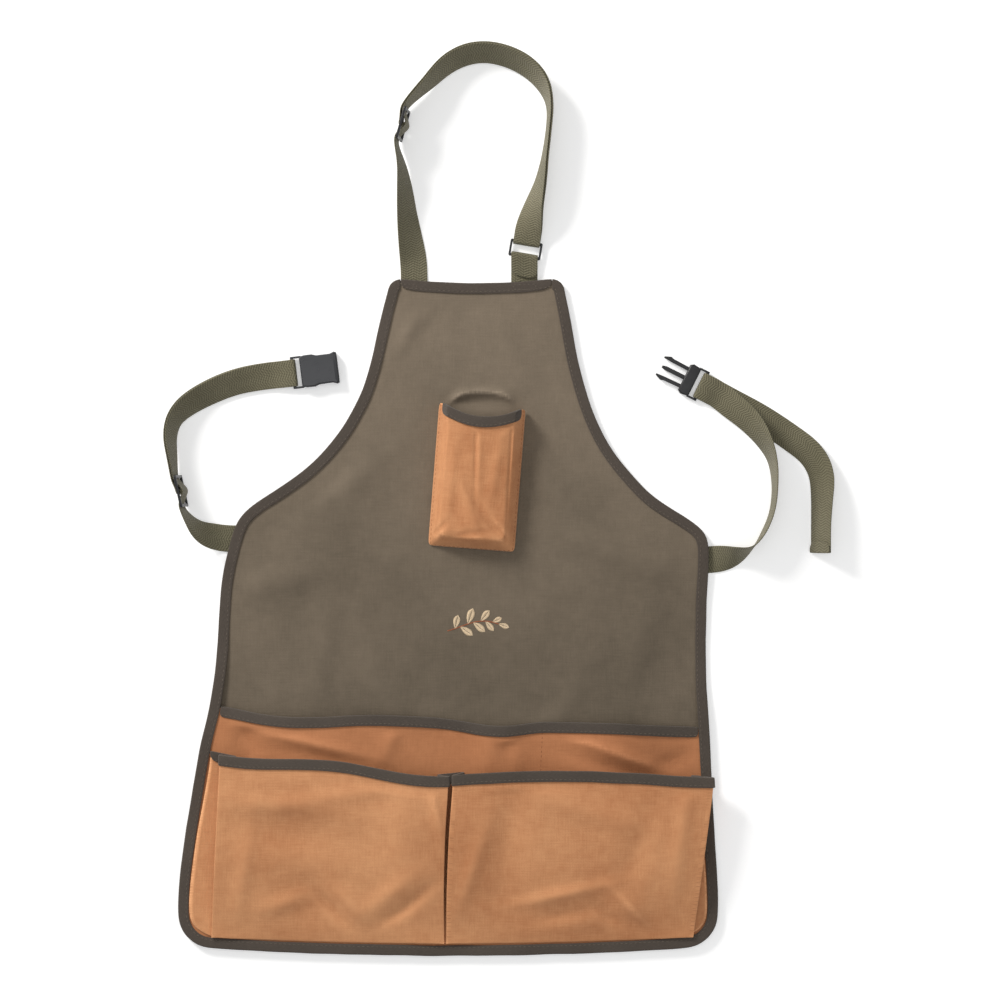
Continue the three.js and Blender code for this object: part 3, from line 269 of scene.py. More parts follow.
def canvas(name, light, dark, roughness, sheen, relief, painted_shade_to_hem=0.0):
    """Waxed plain weave between two colours. Its last argument, above zero, paints shade that darkens it
    towards the hem.
    """
    material = simple_material(name, light, roughness)
    lay, place = weave_lay(material), place_on(material)
    warp = maths(material, "SUBTRACT", bands(material, lay, "X", 2 * CANVAS_PITCH), 0.5)
    weft = maths(material, "SUBTRACT", bands(material, lay, "Y", 2 * CANVAS_PITCH), 0.5)
    crossing = maths(material, "MULTIPLY", warp, weft)
    threads = maths(material, "ADD", maths(material, "MULTIPLY", crossing, 2.0), 0.5)
    slub_across = speckle(material, stretched(material, lay, (1, SLUB_STRETCH, 1)), SLUB_WIDTH, 2)
    slub_along = speckle(material, stretched(material, lay, (SLUB_STRETCH, 1, 1)), SLUB_WIDTH, 2)
    slub = ramp(material, maths(material, "ADD", slub_across, slub_along), low=0.7, high=1.3)
    stain = ramp(material, speckle(material, place, STAIN_SIZE, 2), low=0.35, high=0.65)
    mottle = ramp(material, speckle(material, place, MOTTLE_SIZE, 4), low=0.3, high=0.7)
    shade = maths(material, "MULTIPLY", mottle, MOTTLE_SHARE)
    shade = maths(material, "MULTIPLY_ADD", stain, STAIN_SHARE, shade)
    shade = maths(material, "MULTIPLY_ADD", slub, SLUB_SHARE, shade)
    # Painted shade towards the hem, for light that weakens lower on the apron.
    if painted_shade_to_hem:
        height = add_node(material, "ShaderNodeSeparateXYZ", (), Vector=place).outputs["Y"]
        down = ramp(material, height, PALE_FROM, DARK_FROM)
        shade = maths(material, "MULTIPLY_ADD", down, painted_shade_to_hem, maths(material, "MULTIPLY", shade, 1 - painted_shade_to_hem))
    tint = blend_colour(material, shade, light, dark)
    between = ramp(material, threads, low=0.25, high=0.0)
    tint = blend_colour(material, between, tint, scaled(dark, 0.7))
    wear = add_node(material, "ShaderNodeAttribute", {"attribute_name": "wear"}).outputs["Fac"]
    worn = maths(material, "MULTIPLY", wear, ramp(material, slub, low=0.1, high=0.7))
    tint = blend_colour(material, worn, tint, scaled(light, 1.3, lift=0.015))
    height = maths(material, "MULTIPLY", slub, SLUB_RELIEF)
    height = maths(material, "MULTIPLY_ADD", mottle, MOTTLE_RELIEF, height)
    height = maths(material, "ADD", height, threads)
    set_shader(material, {
        "Base Color": tint, "Normal": bumped(material, height, relief, CANVAS_BUMP),
        "Specular IOR Level": 0.3, "Sheen Weight": sheen, "Sheen Roughness": 0.5,
    })
    return material


OLIVE, DARK_OLIVE = colour(127, 113, 96), colour(88, 78, 64)
TAN, DARK_TAN = colour(216, 157, 110), colour(176, 114, 72)
# Painted shade: the rear pocket is the same tan canvas, painted darker where it lies low under the front
# pocket's mouth.
PAINTED_SHADE_TAN, DARK_PAINTED_SHADE_TAN = colour(192, 129, 86), colour(164, 105, 66)
# The olive body carries painted shade that darkens it towards its hem.
olive_canvas = canvas("olive_canvas", OLIVE, DARK_OLIVE, roughness=0.78, sheen=0.1, relief=0.6, painted_shade_to_hem=0.4)
tan_canvas = canvas("tan_canvas", TAN, DARK_TAN, roughness=0.74, sheen=0.08, relief=0.6)
painted_shade_canvas = canvas("painted_shade_canvas", PAINTED_SHADE_TAN, DARK_PAINTED_SHADE_TAN, roughness=0.74, sheen=0.08, relief=0.5)
print("three canvases with threads every", CANVAS_PITCH / MM, "mm")

# %% [markdown]
# ## Tape and webbing
#
# A narrow band is woven with ribs along its length, and the yarn that crosses them floats
# over several at a time, so its light goes in a zigzag. One recipe makes both bands: fine and
# nearly flat for the cotton tape, coarse and deep for the webbing. It reads the length along
# the band, so the zigzag turns with every bend.

# %% Tape and webbing
ZIGZAG_RIBS = 4
FLOAT_RIBS = 1.6
RIB_RELIEF, FLOAT_RELIEF, FIBRE_RELIEF = 0.4, 0.6, 0.4
FIBRE_WIDTH = 0.7 * MM
FADING_SIZE = 60 * MM
BAND_BUMP = 0.6 * MM


def ribbed(name, light, dark, rib, slope, roughness, relief):
    """A narrow woven band: ribs along it, crossed by floats that slant to and fro by slope."""
    material = simple_material(name, light, roughness)
    lay, place = weave_lay(material), place_on(material)
    parts = add_node(material, "ShaderNodeSeparateXYZ", (), Vector=lay).outputs
    ribs = bands(material, lay, "X", rib)
    zigzag = maths(material, "PINGPONG", parts["X"], rib * ZIGZAG_RIBS)
    slant = maths(material, "MULTIPLY_ADD", zigzag, slope, parts["Y"])
    joined = add_node(material, "ShaderNodeCombineXYZ", (), X=slant).outputs["Vector"]
    floats = bands(material, joined, "X", rib * FLOAT_RIBS)
    height = maths(material, "MULTIPLY", floats, FLOAT_RELIEF)
    height = maths(material, "MULTIPLY_ADD", ribs, RIB_RELIEF, height)
    fibres = speckle(material, stretched(material, lay, (1, 0.15, 1)), FIBRE_WIDTH, 3)
    fading = ramp(material, speckle(material, place, FADING_SIZE, 3), low=0.35, high=0.65)
    shade = maths(material, "ADD", fading, ramp(material, fibres, low=0.3, high=0.7))
    tint = blend_colour(material, maths(material, "MULTIPLY", shade, 0.5), light, dark)
    between = ramp(material, height, low=0.7, high=0.0)
    tint = blend_colour(material, between, tint, scaled(dark, 0.5))
    total = maths(material, "MULTIPLY_ADD", fibres, FIBRE_RELIEF, height)
    set_shader(material, {
        "Base Color": tint, "Normal": bumped(material, total, relief, BAND_BUMP),
        "Specular IOR Level": 0.35, "Sheen Weight": 0.15,
    })
    return material


TAPE_LIGHT, TAPE_DARK = colour(92, 82, 73), colour(74, 65, 57)
GREEN, DARK_GREEN = colour(128, 122, 98), colour(102, 97, 74)
dark_tape = ribbed("dark_tape", TAPE_LIGHT, TAPE_DARK, 0.7 * MM, slope=0.4, roughness=0.85, relief=0.5)
green_webbing = ribbed("green_webbing", GREEN, DARK_GREEN, 1.5 * MM, slope=0.5, roughness=0.8, relief=0.9)
print("tape and webbing")

# %% [markdown]
# ## Plastic and thread
#
# Buckles are injected plastic, dark and half glossy, with a faint skin from the mould and
# scuffs where they rub. A thin coat over a rougher base gives both. Thread is matt, and the
# fine light and dark along it comes from its twist. At this size a speckle is enough, and a
# modelled twist wouldn't be seen.

# %% Plastic and thread
SKIN_SIZE, SCUFF_SIZE = 0.9 * MM, 6 * MM
SCUFF_ROUGHNESS = 0.14
SKIN_BUMP = 0.08 * MM
TWIST_SIZE = 0.4 * MM
THREAD_ROUGHNESS = 0.75


def moulded(name, tint, roughness):
    """Injected plastic: glossy, with the faint orange skin that a mould leaves."""
    material = simple_material(name, tint, roughness)
    place = place_on(material)
    skin = speckle(material, place, SKIN_SIZE, 2)
    scuff = ramp(material, speckle(material, place, SCUFF_SIZE, 4), low=0.45, high=0.7)
    rough = maths(material, "ADD", maths(material, "MULTIPLY", scuff, SCUFF_ROUGHNESS), roughness)
    set_shader(material, {
        "Roughness": rough, "Normal": bumped(material, skin, 0.15, SKIN_BUMP),
        "Specular IOR Level": 0.4, "Coat Weight": 0.12, "Coat Roughness": 0.2,
    })
    return material


def spun(name, tint):
    """Thread: matt, with the light and dark of its twist."""
    material = simple_material(name, tint, THREAD_ROUGHNESS)
    twist = ramp(material, speckle(material, place_on(material), TWIST_SIZE, 2), low=0.35, high=0.65)
    set_shader(material, {"Base Color": blend_colour(material, twist, tint, scaled(tint, 0.6))})
    return material


black_plastic = moulded("black_plastic", colour(20, 20, 22), 0.3)
smoky_plastic = moulded("smoky_plastic", colour(50, 51, 54), 0.18)
brown_thread = spun("brown_thread", colour(112, 101, 88))
tan_thread = spun("tan_thread", colour(158, 98, 60))
green_thread = spun("green_thread", colour(80, 76, 60))
cream_thread = spun("cream_thread", colour(228, 204, 170))
rust_thread = spun("rust_thread", colour(160, 92, 58))
print("two plastics and five threads")

# %% [markdown]
# ## Reading a sheet of cloth
#
# In the frame each cloth is a thin wall of loose triangles. Merged and joined they become a
# regular net of quads, with a corner wherever only three edges meet. From one corner the net
# can be read row by row, the near layer first and then the far one. Knowing the rows, the
# threads can be laid along them, edges can be told from folds, and seams can follow a column.

# %% Read the net
SAME_PLACE = 1e-6
JOIN_INFLUENCES = (0.5, 1.0, 1.5, 2.0, 3.0)


def merged_copy(node):
    """A frame solid's mesh with its loose triangles joined at their corners."""
    bm = bmesh.new()
    bm.from_mesh(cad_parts[node].data)
    bmesh.ops.remove_doubles(bm, verts=bm.verts, dist=SAME_PLACE)
    return bm


def quad_copy(node):
    """A merged copy of a frame solid, its triangles joined into quads."""
    for influence in JOIN_INFLUENCES:
        bm = merged_copy(node)
        bm.edges.layers.float.new("crease_edge")
        bm.loops.layers.uv.new("Weave")
        bmesh.ops.join_triangles(
            bm, faces=bm.faces, angle_face_threshold=math.pi,
            angle_shape_threshold=math.pi, topology_influence=influence,
        )
        corners = [v for v in bm.verts if len(v.link_edges) != 4]
        if all(len(face.verts) == 4 for face in bm.faces) and len(corners) == 8:
            return bm
        bm.free()
    raise ValueError(node + " isn't a net of quads")


def straight(vertex, edge):
    """The vertices met when an edge is followed straight on to a corner."""
    line = [vertex]
    while True:
        vertex = edge.other_vert(vertex)
        line.append(vertex)
        ahead = [e for e in vertex.link_edges if not set(e.link_faces) & set(edge.link_faces)]
        if len(ahead) != 1:
            return line
        edge = ahead[0]


def beside(line, start):
    """The line of vertices one quad over, beginning at start."""
    found = [start]
    for a, b in zip(line, line[1:]):
        face = next(f for f in b.link_faces if a in f.verts and found[-1] in f.verts)
        found.append(next(v for v in face.verts if v not in (a, b, found[-1])))
    return found


def read_sheet(bm, wide=False):
    """Both layers of a cloth as rows of vertices. Rows run across X if wide, else the short way."""
    corner = next(v for v in bm.verts if len(v.link_edges) == 3)
    lines = [straight(corner, edge) for edge in corner.link_edges]
    wall, row, rail = sorted(lines, key=lambda line: (len(line), (line[1].co - line[0].co).length))
    if wide:
        row, rail = sorted([row, rail], key=lambda line: -abs(line[-1].co.x - line[0].co.x))
    layers = []
    for first, side in ((row, rail), (beside(row, wall[1]), beside(rail, wall[1]))):
        grid = [first]
        for start in side[1:]:
            grid.append(beside(grid[-1], start))
        layers.append(grid)
    return layers


bm = quad_copy("neck_strap")
layers = read_sheet(bm)
print("the neck strap has", len(layers[0]), "rows of", len(layers[0][0]))
bm.free()

# %% [markdown]
# ## From a coarse net to soft cloth
#
# A Subdivision Surface rounds the coarse net into cloth, but it also pulls in every border and
# melts every fold. A crease holds a border where it is, which suits an edge hidden in a tape.
# A narrow bevel holds a fold better, because real cloth turns over a small radius. The same
# bevel makes the rounded selvedge of a strap.

# %% Lay the threads
LEVEL = 0.5


def lay_flat_threads(bm, turn):
    """A UV map in metres for cloth that lies flat: from above, and from the side on its walls."""
    uv = bm.loops.layers.uv["Weave"]
    rotation = Matrix.Rotation(-turn, 3, "Z")
    bm.normal_update()
    for face in bm.faces:
        normal = rotation @ face.normal
        for loop in face.loops:
            place = rotation @ loop.vert.co
            if abs(normal.z) > LEVEL:
                loop[uv].uv = place.xy
            elif abs(normal.x) > abs(normal.y):
                loop[uv].uv = (place.z, place.y)
            else:
                loop[uv].uv = (place.x, place.z)


def lay_long_threads(bm, layers):
    """A UV map in metres along a tape or strap, by its own lengths."""
    uv = bm.loops.layers.uv["Weave"]
    place = {}
    along = 0.0
    last = None
    for row, other in zip(*layers):
        points = [a.co.lerp(b.co, 0.5) for a, b in zip(row, other)]
        if last:
            steps = [(p - q).length for p, q in zip(points, last)]
            along += sum(steps) / len(steps)
        last = points
        across = 0.0
        for i, (a, b) in enumerate(zip(row, other)):
            if i:
                across += (points[i] - points[i - 1]).length
            place[a] = place[b] = Vector((across, along))
    for face in bm.faces:
        for loop in face.loops:
            loop[uv].uv = place[loop.vert]


# %% Rims and folds
FOLD_ANGLE = math.radians(48)
THICKEST_WALL = 2 * MM


def rim_edges(layers):
    """The edges round the border of both layers."""
    found = []
    for grid in layers:
        border = [grid[0], grid[-1], [row[0] for row in grid], [row[-1] for row in grid]]
        for line in border:
            for a, b in zip(line, line[1:]):
                found += [e for e in a.link_edges if e.other_vert(a) == b]
    return found


def fold_edges(bm, layers, rims):
    """The edges over which the cloth turns, without its rims and the edges through its wall."""
    ends = {v for grid in layers for row in (grid[0], grid[-1]) for v in row}
    found = []
    for edge in bm.edges:
        if edge in rims or len(edge.link_faces) != 2 or edge.calc_face_angle(0.0) <= FOLD_ANGLE:
            continue
        through = edge.calc_length() < THICKEST_WALL and any(v in ends for v in edge.verts)
        if not through:
            found.append(edge)
    return found


def round_off(bm, edges, radius, segments=1):
    bmesh.ops.bevel(
        bm, geom=edges, offset=radius, segments=segments, profile=0.5,
        affect="EDGES", material=-1, clamp_overlap=True,
    )


# %% Soften a sheet


def soften(bm, layers, name, levels, radius, selvedge, turn):
    """Rounds folds, and rims too on a selvedge, subdivides, and returns the finished object."""
    if turn is None:
        lay_long_threads(bm, layers)
    else:
        lay_flat_threads(bm, turn)
    rims = set(rim_edges(layers))
    rounded = fold_edges(bm, layers, rims) if radius else []
    if selvedge:
        rounded = [edge for edge in bm.edges if edge in rims] + rounded
    else:
        crease = bm.edges.layers.float["crease_edge"]
        for edge in rims:
            edge[crease] = 1.0
    if rounded:
        round_off(bm, rounded, radius)
    obj = object_of(bm, name + "_net")
    subdivision = obj.modifiers.new("soften", "SUBSURF")
    subdivision.levels = subdivision.render_levels = levels
    bpy.context.view_layer.update()
    graph = bpy.context.evaluated_depsgraph_get()
    mesh = bpy.data.meshes.new_from_object(obj.evaluated_get(graph))
    bpy.data.objects.remove(obj)
    mesh.name = name
    smooth(mesh)
    return new_object(name, mesh)


def dress(obj, node, material):
    """Gives a finished piece its material and puts it in its CAD node's place."""
    obj.data.materials.clear()
    obj.data.materials.append(material)
    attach(obj, "root")
    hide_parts(node)
    triangles = sum(len(p.vertices) - 2 for p in obj.data.polygons)
    print(obj.name, "for", node, "-", triangles, "triangles")
    return obj


def cloth_piece(node, name, material, levels, radius=0.0, selvedge=False, turn=None, reshape=None):
    """A finished piece, and its net as two layers of rows of points. Turn lays its threads flat."""
    bm = quad_copy(node)
    layers = read_sheet(bm, wide=turn is not None)
    if reshape:
        reshape(layers)
    rows = [[[v.co.copy() for v in row] for row in layer] for layer in layers]
    obj = soften(bm, layers, name, levels, radius, selvedge, turn)
    return dress(obj, node, material), rows


# %% [markdown]
# ## Body and pockets
#
# The body is one piece of olive canvas. The two wide pockets lie over each other at the hem
# and share the apron's edge. The small one is a tray of cloth on the bib. Cloth simulation
# could shape them, but it would move the folds that the frame has measured, so the frame's own
# net is softened. Each fold is turned over a small radius, wider where the cloth is looser.

# %% Body and pockets
CLOTH_LEVELS = 3
REAR_FOLD = 0.5 * MM
FRONT_FOLD = 0.9 * MM
BIB_FOLD = 1.0 * MM
BIB_LEAN = math.radians(-4.5)

body_cloth, _ = cloth_piece("body_panel", "body_cloth", olive_canvas, CLOTH_LEVELS, turn=0.0)
# The rear pocket takes the tan canvas with painted shade.
rear_cloth, rear_rows = cloth_piece(
    "rear_pocket", "rear_pocket_cloth", painted_shade_canvas, CLOTH_LEVELS, REAR_FOLD, turn=0.0
)
front_cloth, _ = cloth_piece(
    "front_pocket", "front_pocket_cloth", tan_canvas, CLOTH_LEVELS, FRONT_FOLD, turn=0.0
)
bib_cloth, bib_rows = cloth_piece(
    "bib_pocket", "bib_pocket_cloth", tan_canvas, CLOTH_LEVELS, BIB_FOLD, turn=BIB_LEAN
)

# %% [markdown]
# ## Tape on the raw edges
#
# Cut canvas frays, so a tape is folded over each edge and sewn through. The frame has it as a
# narrow channel of cloth, which is softened in the same way, rims and all. The rear pocket's
# tape ends under the edge tape on the real apron, so its ends are drawn out to it. A tape that
# is sewn on never runs quite true, and slow noise moves it by half a millimetre.

# %% Tapes
TAPES = ["edge_binding", "bib_binding", "rear_pocket_binding", "front_pocket_binding", "bib_pocket_binding"]
NARROW_LEVELS = 2
TAPE_ROUND = 0.28 * MM
CLEAR = 0.3 * MM
tapes = {}


def column_x(rows, column, y, side):
    """Where the edge tape's column lies across, at a height, on the left (-1) or right (1)."""
    points = [row[column] for row in rows if row[column].x * side > 0]
    points.sort(key=lambda point: point.y)
    above = next(k for k, point in enumerate(points) if point.y >= y)
    low, high = points[above - 1], points[above]
    return low.x + (high.x - low.x) * (y - low.y) / (high.y - low.y)


def reach_edge(layers):
    """Draws the ends of the rear mouth's tape out to the edge tape, along its slant."""
    edge_rows = tapes["edge_binding"][1][0]
    inner = max((0, 3), key=lambda column: edge_rows[len(edge_rows) // 2][column].z)
    for layer in layers:
        for row in (layer[0], layer[-1]):
            for vertex in row:
                side = 1 if vertex.co.x > 0 else -1
                vertex.co.x = column_x(edge_rows, inner, vertex.co.y, side) - side * CLEAR


for node in TAPES:
    tapes[node] = cloth_piece(
        node, node.replace("binding", "tape"), dark_tape, NARROW_LEVELS, TAPE_ROUND,
        selvedge=True, reshape=reach_edge if node == "rear_pocket_binding" else None,
    )

# %% Let the tapes wander
WANDER = 0.45 * MM
WANDER_UP = 0.4
WANDER_SIZE = 28 * MM

for obj, rows in tapes.values():
    for vertex in obj.data.vertices:
        drift = noise.noise_vector(vertex.co / WANDER_SIZE)
        vertex.co += WANDER * Vector((drift.x, drift.y, WANDER_UP * drift.z))
    obj.data.update()
print("tapes wander by up to", WANDER / MM, "mm")

# %% [markdown]
# ## Webbing straps
#
# The neck loop and the two waist straps are one width of webbing, looped, turned and threaded
# as the frame has them. A curve with a flat profile would twist them evenly, but real webbing
# keeps flat and turns all at once, which the frame's rows show. Only the selvedge is added: a
# small round along both borders, where the yarn turns back.

# %% Straps
STRAPS = ["neck_strap", "neck_stub", "waist_strap_left", "waist_strap_right"]
SELVEDGE_ROUND = 0.4 * MM
straps = {}

for node in STRAPS:
    straps[node] = cloth_piece(
        node, node + "_webbing", green_webbing, NARROW_LEVELS, SELVEDGE_ROUND, selvedge=True
    )

# %% [markdown]
# ## Creases
#
# The apron was folded and packed before it was laid down, so it keeps shallow creases, and
# its pockets stand a little open and buckle. The frame has the main forms. The finer ones are
# pressed into the fine mesh: a ridge is a bell curve across a line, and slow noise moves the
# rest by less than a millimetre. Both fade out at the tapes, which hold their cloth.

# %% Ridges and dents


def ridge(x, y, rows):
    """Height of soft ridges and dents at a place, in metres. Each is a bell curve across a line."""
    height = 0.0
    for row in rows:
        turn = math.radians(row["angle"])
        dx, dy = x - row["x"] * MM, y - row["y"] * MM
        along = (dx * math.cos(turn) + dy * math.sin(turn)) / (row["length"] * MM)
        across = (dy * math.cos(turn) - dx * math.sin(turn)) / (row["width"] * MM)
        height += row["height"] * MM * math.exp(-along * along - across * across)
    return height


def rise(value, start, run):
    """Goes softly from 0 to 1 while a value grows from start by a run."""
    share = max(0.0, min(1.0, (value - start) / run))
    return share * share * (3 - 2 * share)


def tree_of(obj):
    mesh = obj.data
    return BVHTree.FromPolygons([v.co for v in mesh.vertices], [p.vertices[:] for p in mesh.polygons])


# %% Press them into a piece
TOP_SHEET = 2.2 * MM
HELD = 3 * MM
LOWEST = 1.2 * MM
FINER = 2.7
FINE_SHARE = 0.4
SLOW_SLICE, FINE_SLICE = 0.3, 4.1
DOWN = Vector((0, 0, -1))


def press(obj, rows, ripple, size, holders, run, fade):
    """Presses creases into a piece's uppermost sheet. It keeps still close to its holders."""
    own = tree_of(obj)
    trees = [tree_of(holder) for holder in holders]
    moves = {}
    for vertex in obj.data.vertices:
        x, y, z = vertex.co
        share = fade(x, y, z)
        if share <= 0:
            continue
        top = own.ray_cast(Vector((x, y, 1)), DOWN)[0]
        if top is None or top.z - z > TOP_SHEET:
            continue
        for tree in trees:
            near = tree.find_nearest(vertex.co, HELD + run)[3]
            if near is not None:
                share *= rise(near, HELD, run)
        slow = noise.noise(Vector((x / size, y / size, SLOW_SLICE)))
        fine = noise.noise(Vector((x / size * FINER, y / size * FINER, FINE_SLICE)))
        move = share * (ridge(x, y, rows) + ripple * (slow + FINE_SHARE * fine))
        moves[vertex.index] = max(move, min(0.0, LOWEST - top.z))
    for index, move in moves.items():
        obj.data.vertices[index].co.z += move
    obj.data.update()
    print(obj.name, "pressed by up to", round(max(map(abs, moves.values())) / MM, 2), "mm")


def rub(obj, reach):
    """Marks the crests that rubbing has worn pale, where the mesh bends away over reach."""
    bm = bmesh.new()
    bm.from_mesh(obj.data)
    wear = bm.verts.layers.float.new("wear")
    for vertex in bm.verts:
        around = [edge.other_vert(vertex).co for edge in vertex.link_edges]
        mean = sum(around, Vector()) / len(around)
        span = sum((point - vertex.co).length for point in around) / len(around)
        bend = (vertex.co - mean).dot(vertex.normal) / (span * span)
        vertex[wear] = max(0.0, min(1.0, bend * reach))
    bm.to_mesh(obj.data)
    bm.free()


# %% Creases of the body
BODY_RIDGES = [
    {"x": -36, "y": 275, "angle": 60, "length": 42, "width": 9, "height": 2.3},
    {"x": -14, "y": 285, "angle": 66, "length": 30, "width": 9, "height": -1.1},
    {"x": 55, "y": 255, "angle": 110, "length": 45, "width": 12, "height": 1.5},
    {"x": -95, "y": 120, "angle": 38, "length": 62, "width": 13, "height": 2.0},
    {"x": -170, "y": 30, "angle": 12, "length": 55, "width": 13, "height": 1.8},
    {"x": -120, "y": -40, "angle": 82, "length": 60, "width": 15, "height": 1.8},
    {"x": 150, "y": 60, "angle": -22, "length": 70, "width": 13, "height": 2.0},
    {"x": 175, "y": -35, "angle": 78, "length": 60, "width": 16, "height": 1.9},
    {"x": 95, "y": 120, "angle": -50, "length": 50, "width": 12, "height": 1.5},
    {"x": -60, "y": -75, "angle": -60, "length": 40, "width": 13, "height": 1.5},
    {"x": 110, "y": -80, "angle": 55, "length": 40, "width": 13, "height": 1.6},
]
BODY_RIPPLE, BODY_RIPPLE_SIZE, BODY_RUN = 0.9 * MM, 55 * MM, 22 * MM
UNDER_POCKETS, ABOVE_POCKETS = -118 * MM, 20 * MM
FLOOR_PATCH, PATCH_RUN = 21 * MM, 30 * MM
BODY_HOLDERS = [tapes["edge_binding"][0], tapes["bib_binding"][0], bib_cloth]
BODY_HOLDERS += [obj for obj, rows in straps.values()]


def body_fade(x, y, z):
    """The body stays flat under the pockets and round the middle, where it lies on the floor."""
    return rise(y, UNDER_POCKETS, ABOVE_POCKETS) * rise(math.hypot(x, y), FLOOR_PATCH, PATCH_RUN)


press(body_cloth, BODY_RIDGES, BODY_RIPPLE, BODY_RIPPLE_SIZE, BODY_HOLDERS, BODY_RUN, body_fade)

# %% [markdown]
# ## The arch behind the bib pocket
#
# A boxed pocket pulls the bib together, so behind its open mouth the body buckles up in a low
# arch with a hollow under it. One long ridge can't follow an arch, but a chain of short ones
# along half an ellipse can, and their bell curves melt into each other.

# %% Arch
MOUTH = {"x": 31, "y": 199, "across": 27, "up": 10, "lean": -3}
HOLLOW = {"x": 31, "y": 200, "angle": -3, "length": 26, "width": 6, "height": -2.2}
ARCH_FROM, ARCH_STEP = 66, 22
ARCH_RIDGE = {"length": 8, "width": 3.2, "height": 1.9}
ARCH_RUN = 0.5 * MM

arch = [HOLLOW]
for degrees in range(-ARCH_FROM, ARCH_FROM + 1, ARCH_STEP):
    sine, cosine = math.sin(math.radians(degrees)), math.cos(math.radians(degrees))
    slope = math.degrees(math.atan2(-MOUTH["up"] * sine, MOUTH["across"] * cosine))
    place = {"x": MOUTH["x"] + MOUTH["across"] * sine, "y": MOUTH["y"] + MOUTH["up"] * cosine}
    arch.append({**place, **ARCH_RIDGE, "angle": slope + MOUTH["lean"]})
press(body_cloth, arch, 0.0, 1.0, [tapes["bib_pocket_binding"][0]], ARCH_RUN, lambda x, y, z: 1.0)

# %% [markdown]
# ## Creases of the pockets
#
# Each pocket gets its own short list of ridges and dents, in millimetres: the sag under the
# mouth, the buckles at the lower corners, and the long folds beside the middle pleat. They
# belong to the loose upper sheet only, so each list starts above a height where the cloth is
# still sewn down.

# %% Creases of the pockets
FRONT_RIDGES = [
    {"x": -12, "y": -177, "angle": 103, "length": 28, "width": 5, "height": 2.0},
    {"x": -105, "y": -277, "angle": -50, "length": 27, "width": 5, "height": -3.6},
    {"x": -90, "y": -268, "angle": -48, "length": 28, "width": 8, "height": 2.5},
    {"x": -148, "y": -266, "angle": 15, "length": 24, "width": 9, "height": 2.7},
    {"x": -135, "y": -203, "angle": -8, "length": 64, "width": 20, "height": -4.4},
    {"x": -150, "y": -175, "angle": -4, "length": 50, "width": 9, "height": 1.6},
    {"x": -43, "y": -272, "angle": 39, "length": 32, "width": 6, "height": -3.3},
    {"x": -55, "y": -258, "angle": 39, "length": 32, "width": 8, "height": 2.2},
    {"x": -42, "y": -200, "angle": 86, "length": 58, "width": 20, "height": 2.4},
    {"x": -190, "y": -240, "angle": 80, "length": 45, "width": 8, "height": 1.8},
    {"x": -95, "y": -165, "angle": 8, "length": 60, "width": 8, "height": 1.5},
    {"x": 55, "y": -205, "angle": 84, "length": 46, "width": 17, "height": -3.6},
    {"x": 22, "y": -235, "angle": 72, "length": 40, "width": 7, "height": 2.0},
    {"x": 107, "y": -258, "angle": 13, "length": 42, "width": 6, "height": 3.0},
    {"x": 108, "y": -277, "angle": 12, "length": 36, "width": 8, "height": -2.4},
    {"x": 167, "y": -268, "angle": -47, "length": 28, "width": 6, "height": 3.0},
    {"x": 148, "y": -279, "angle": -45, "length": 22, "width": 7, "height": -2.4},
    {"x": 215, "y": -205, "angle": 83, "length": 60, "width": 8, "height": 2.2},
    {"x": 130, "y": -180, "angle": -18, "length": 52, "width": 12, "height": 2.0},
    {"x": 175, "y": -215, "angle": 70, "length": 40, "width": 12, "height": -2.1},
]
REAR_RIDGES = [
    {"x": -189, "y": -120, "angle": 88, "length": 24, "width": 12, "height": -3.8},
    {"x": -127, "y": -118, "angle": -13, "length": 50, "width": 5, "height": 2.5},
    {"x": -120, "y": -132, "angle": -10, "length": 50, "width": 7, "height": -2.0},
    {"x": -55, "y": -118, "angle": 70, "length": 18, "width": 8, "height": 1.8},
    {"x": 55, "y": -122, "angle": 75, "length": 20, "width": 9, "height": -2.0},
    {"x": 155, "y": -127, "angle": -20, "length": 48, "width": 5, "height": 2.8},
    {"x": 150, "y": -141, "angle": -18, "length": 42, "width": 7, "height": -3.0},
    {"x": 211, "y": -136, "angle": 20, "length": 18, "width": 9, "height": -3.2},
]
BIB_RIDGES = [
    {"x": 25.2, "y": 147, "angle": 89, "length": 34, "width": 1.8, "height": -1.0},
    {"x": 29.0, "y": 147, "angle": 89, "length": 32, "width": 3, "height": 0.6},
    {"x": 35, "y": 92, "angle": -58, "length": 26, "width": 4, "height": -1.8},
    {"x": 20, "y": 98, "angle": -74, "length": 30, "width": 6, "height": 1.6},
    {"x": 2, "y": 120, "angle": 84, "length": 40, "width": 5, "height": 1.1},
    {"x": 45, "y": 140, "angle": 80, "length": 34, "width": 5, "height": 1.1},
    {"x": 12, "y": 75, "angle": 10, "length": 24, "width": 4, "height": -1.4},
    {"x": -6.6, "y": 133, "angle": 84, "length": 72, "width": 1.7, "height": -1.2},
    {"x": 56.6, "y": 129, "angle": 87, "length": 72, "width": 1.7, "height": -1.2},
    {"x": -11, "y": 79, "angle": 42, "length": 11, "width": 3, "height": -1.8},
    {"x": 48, "y": 77, "angle": -48, "length": 11, "width": 3, "height": -1.8},
]

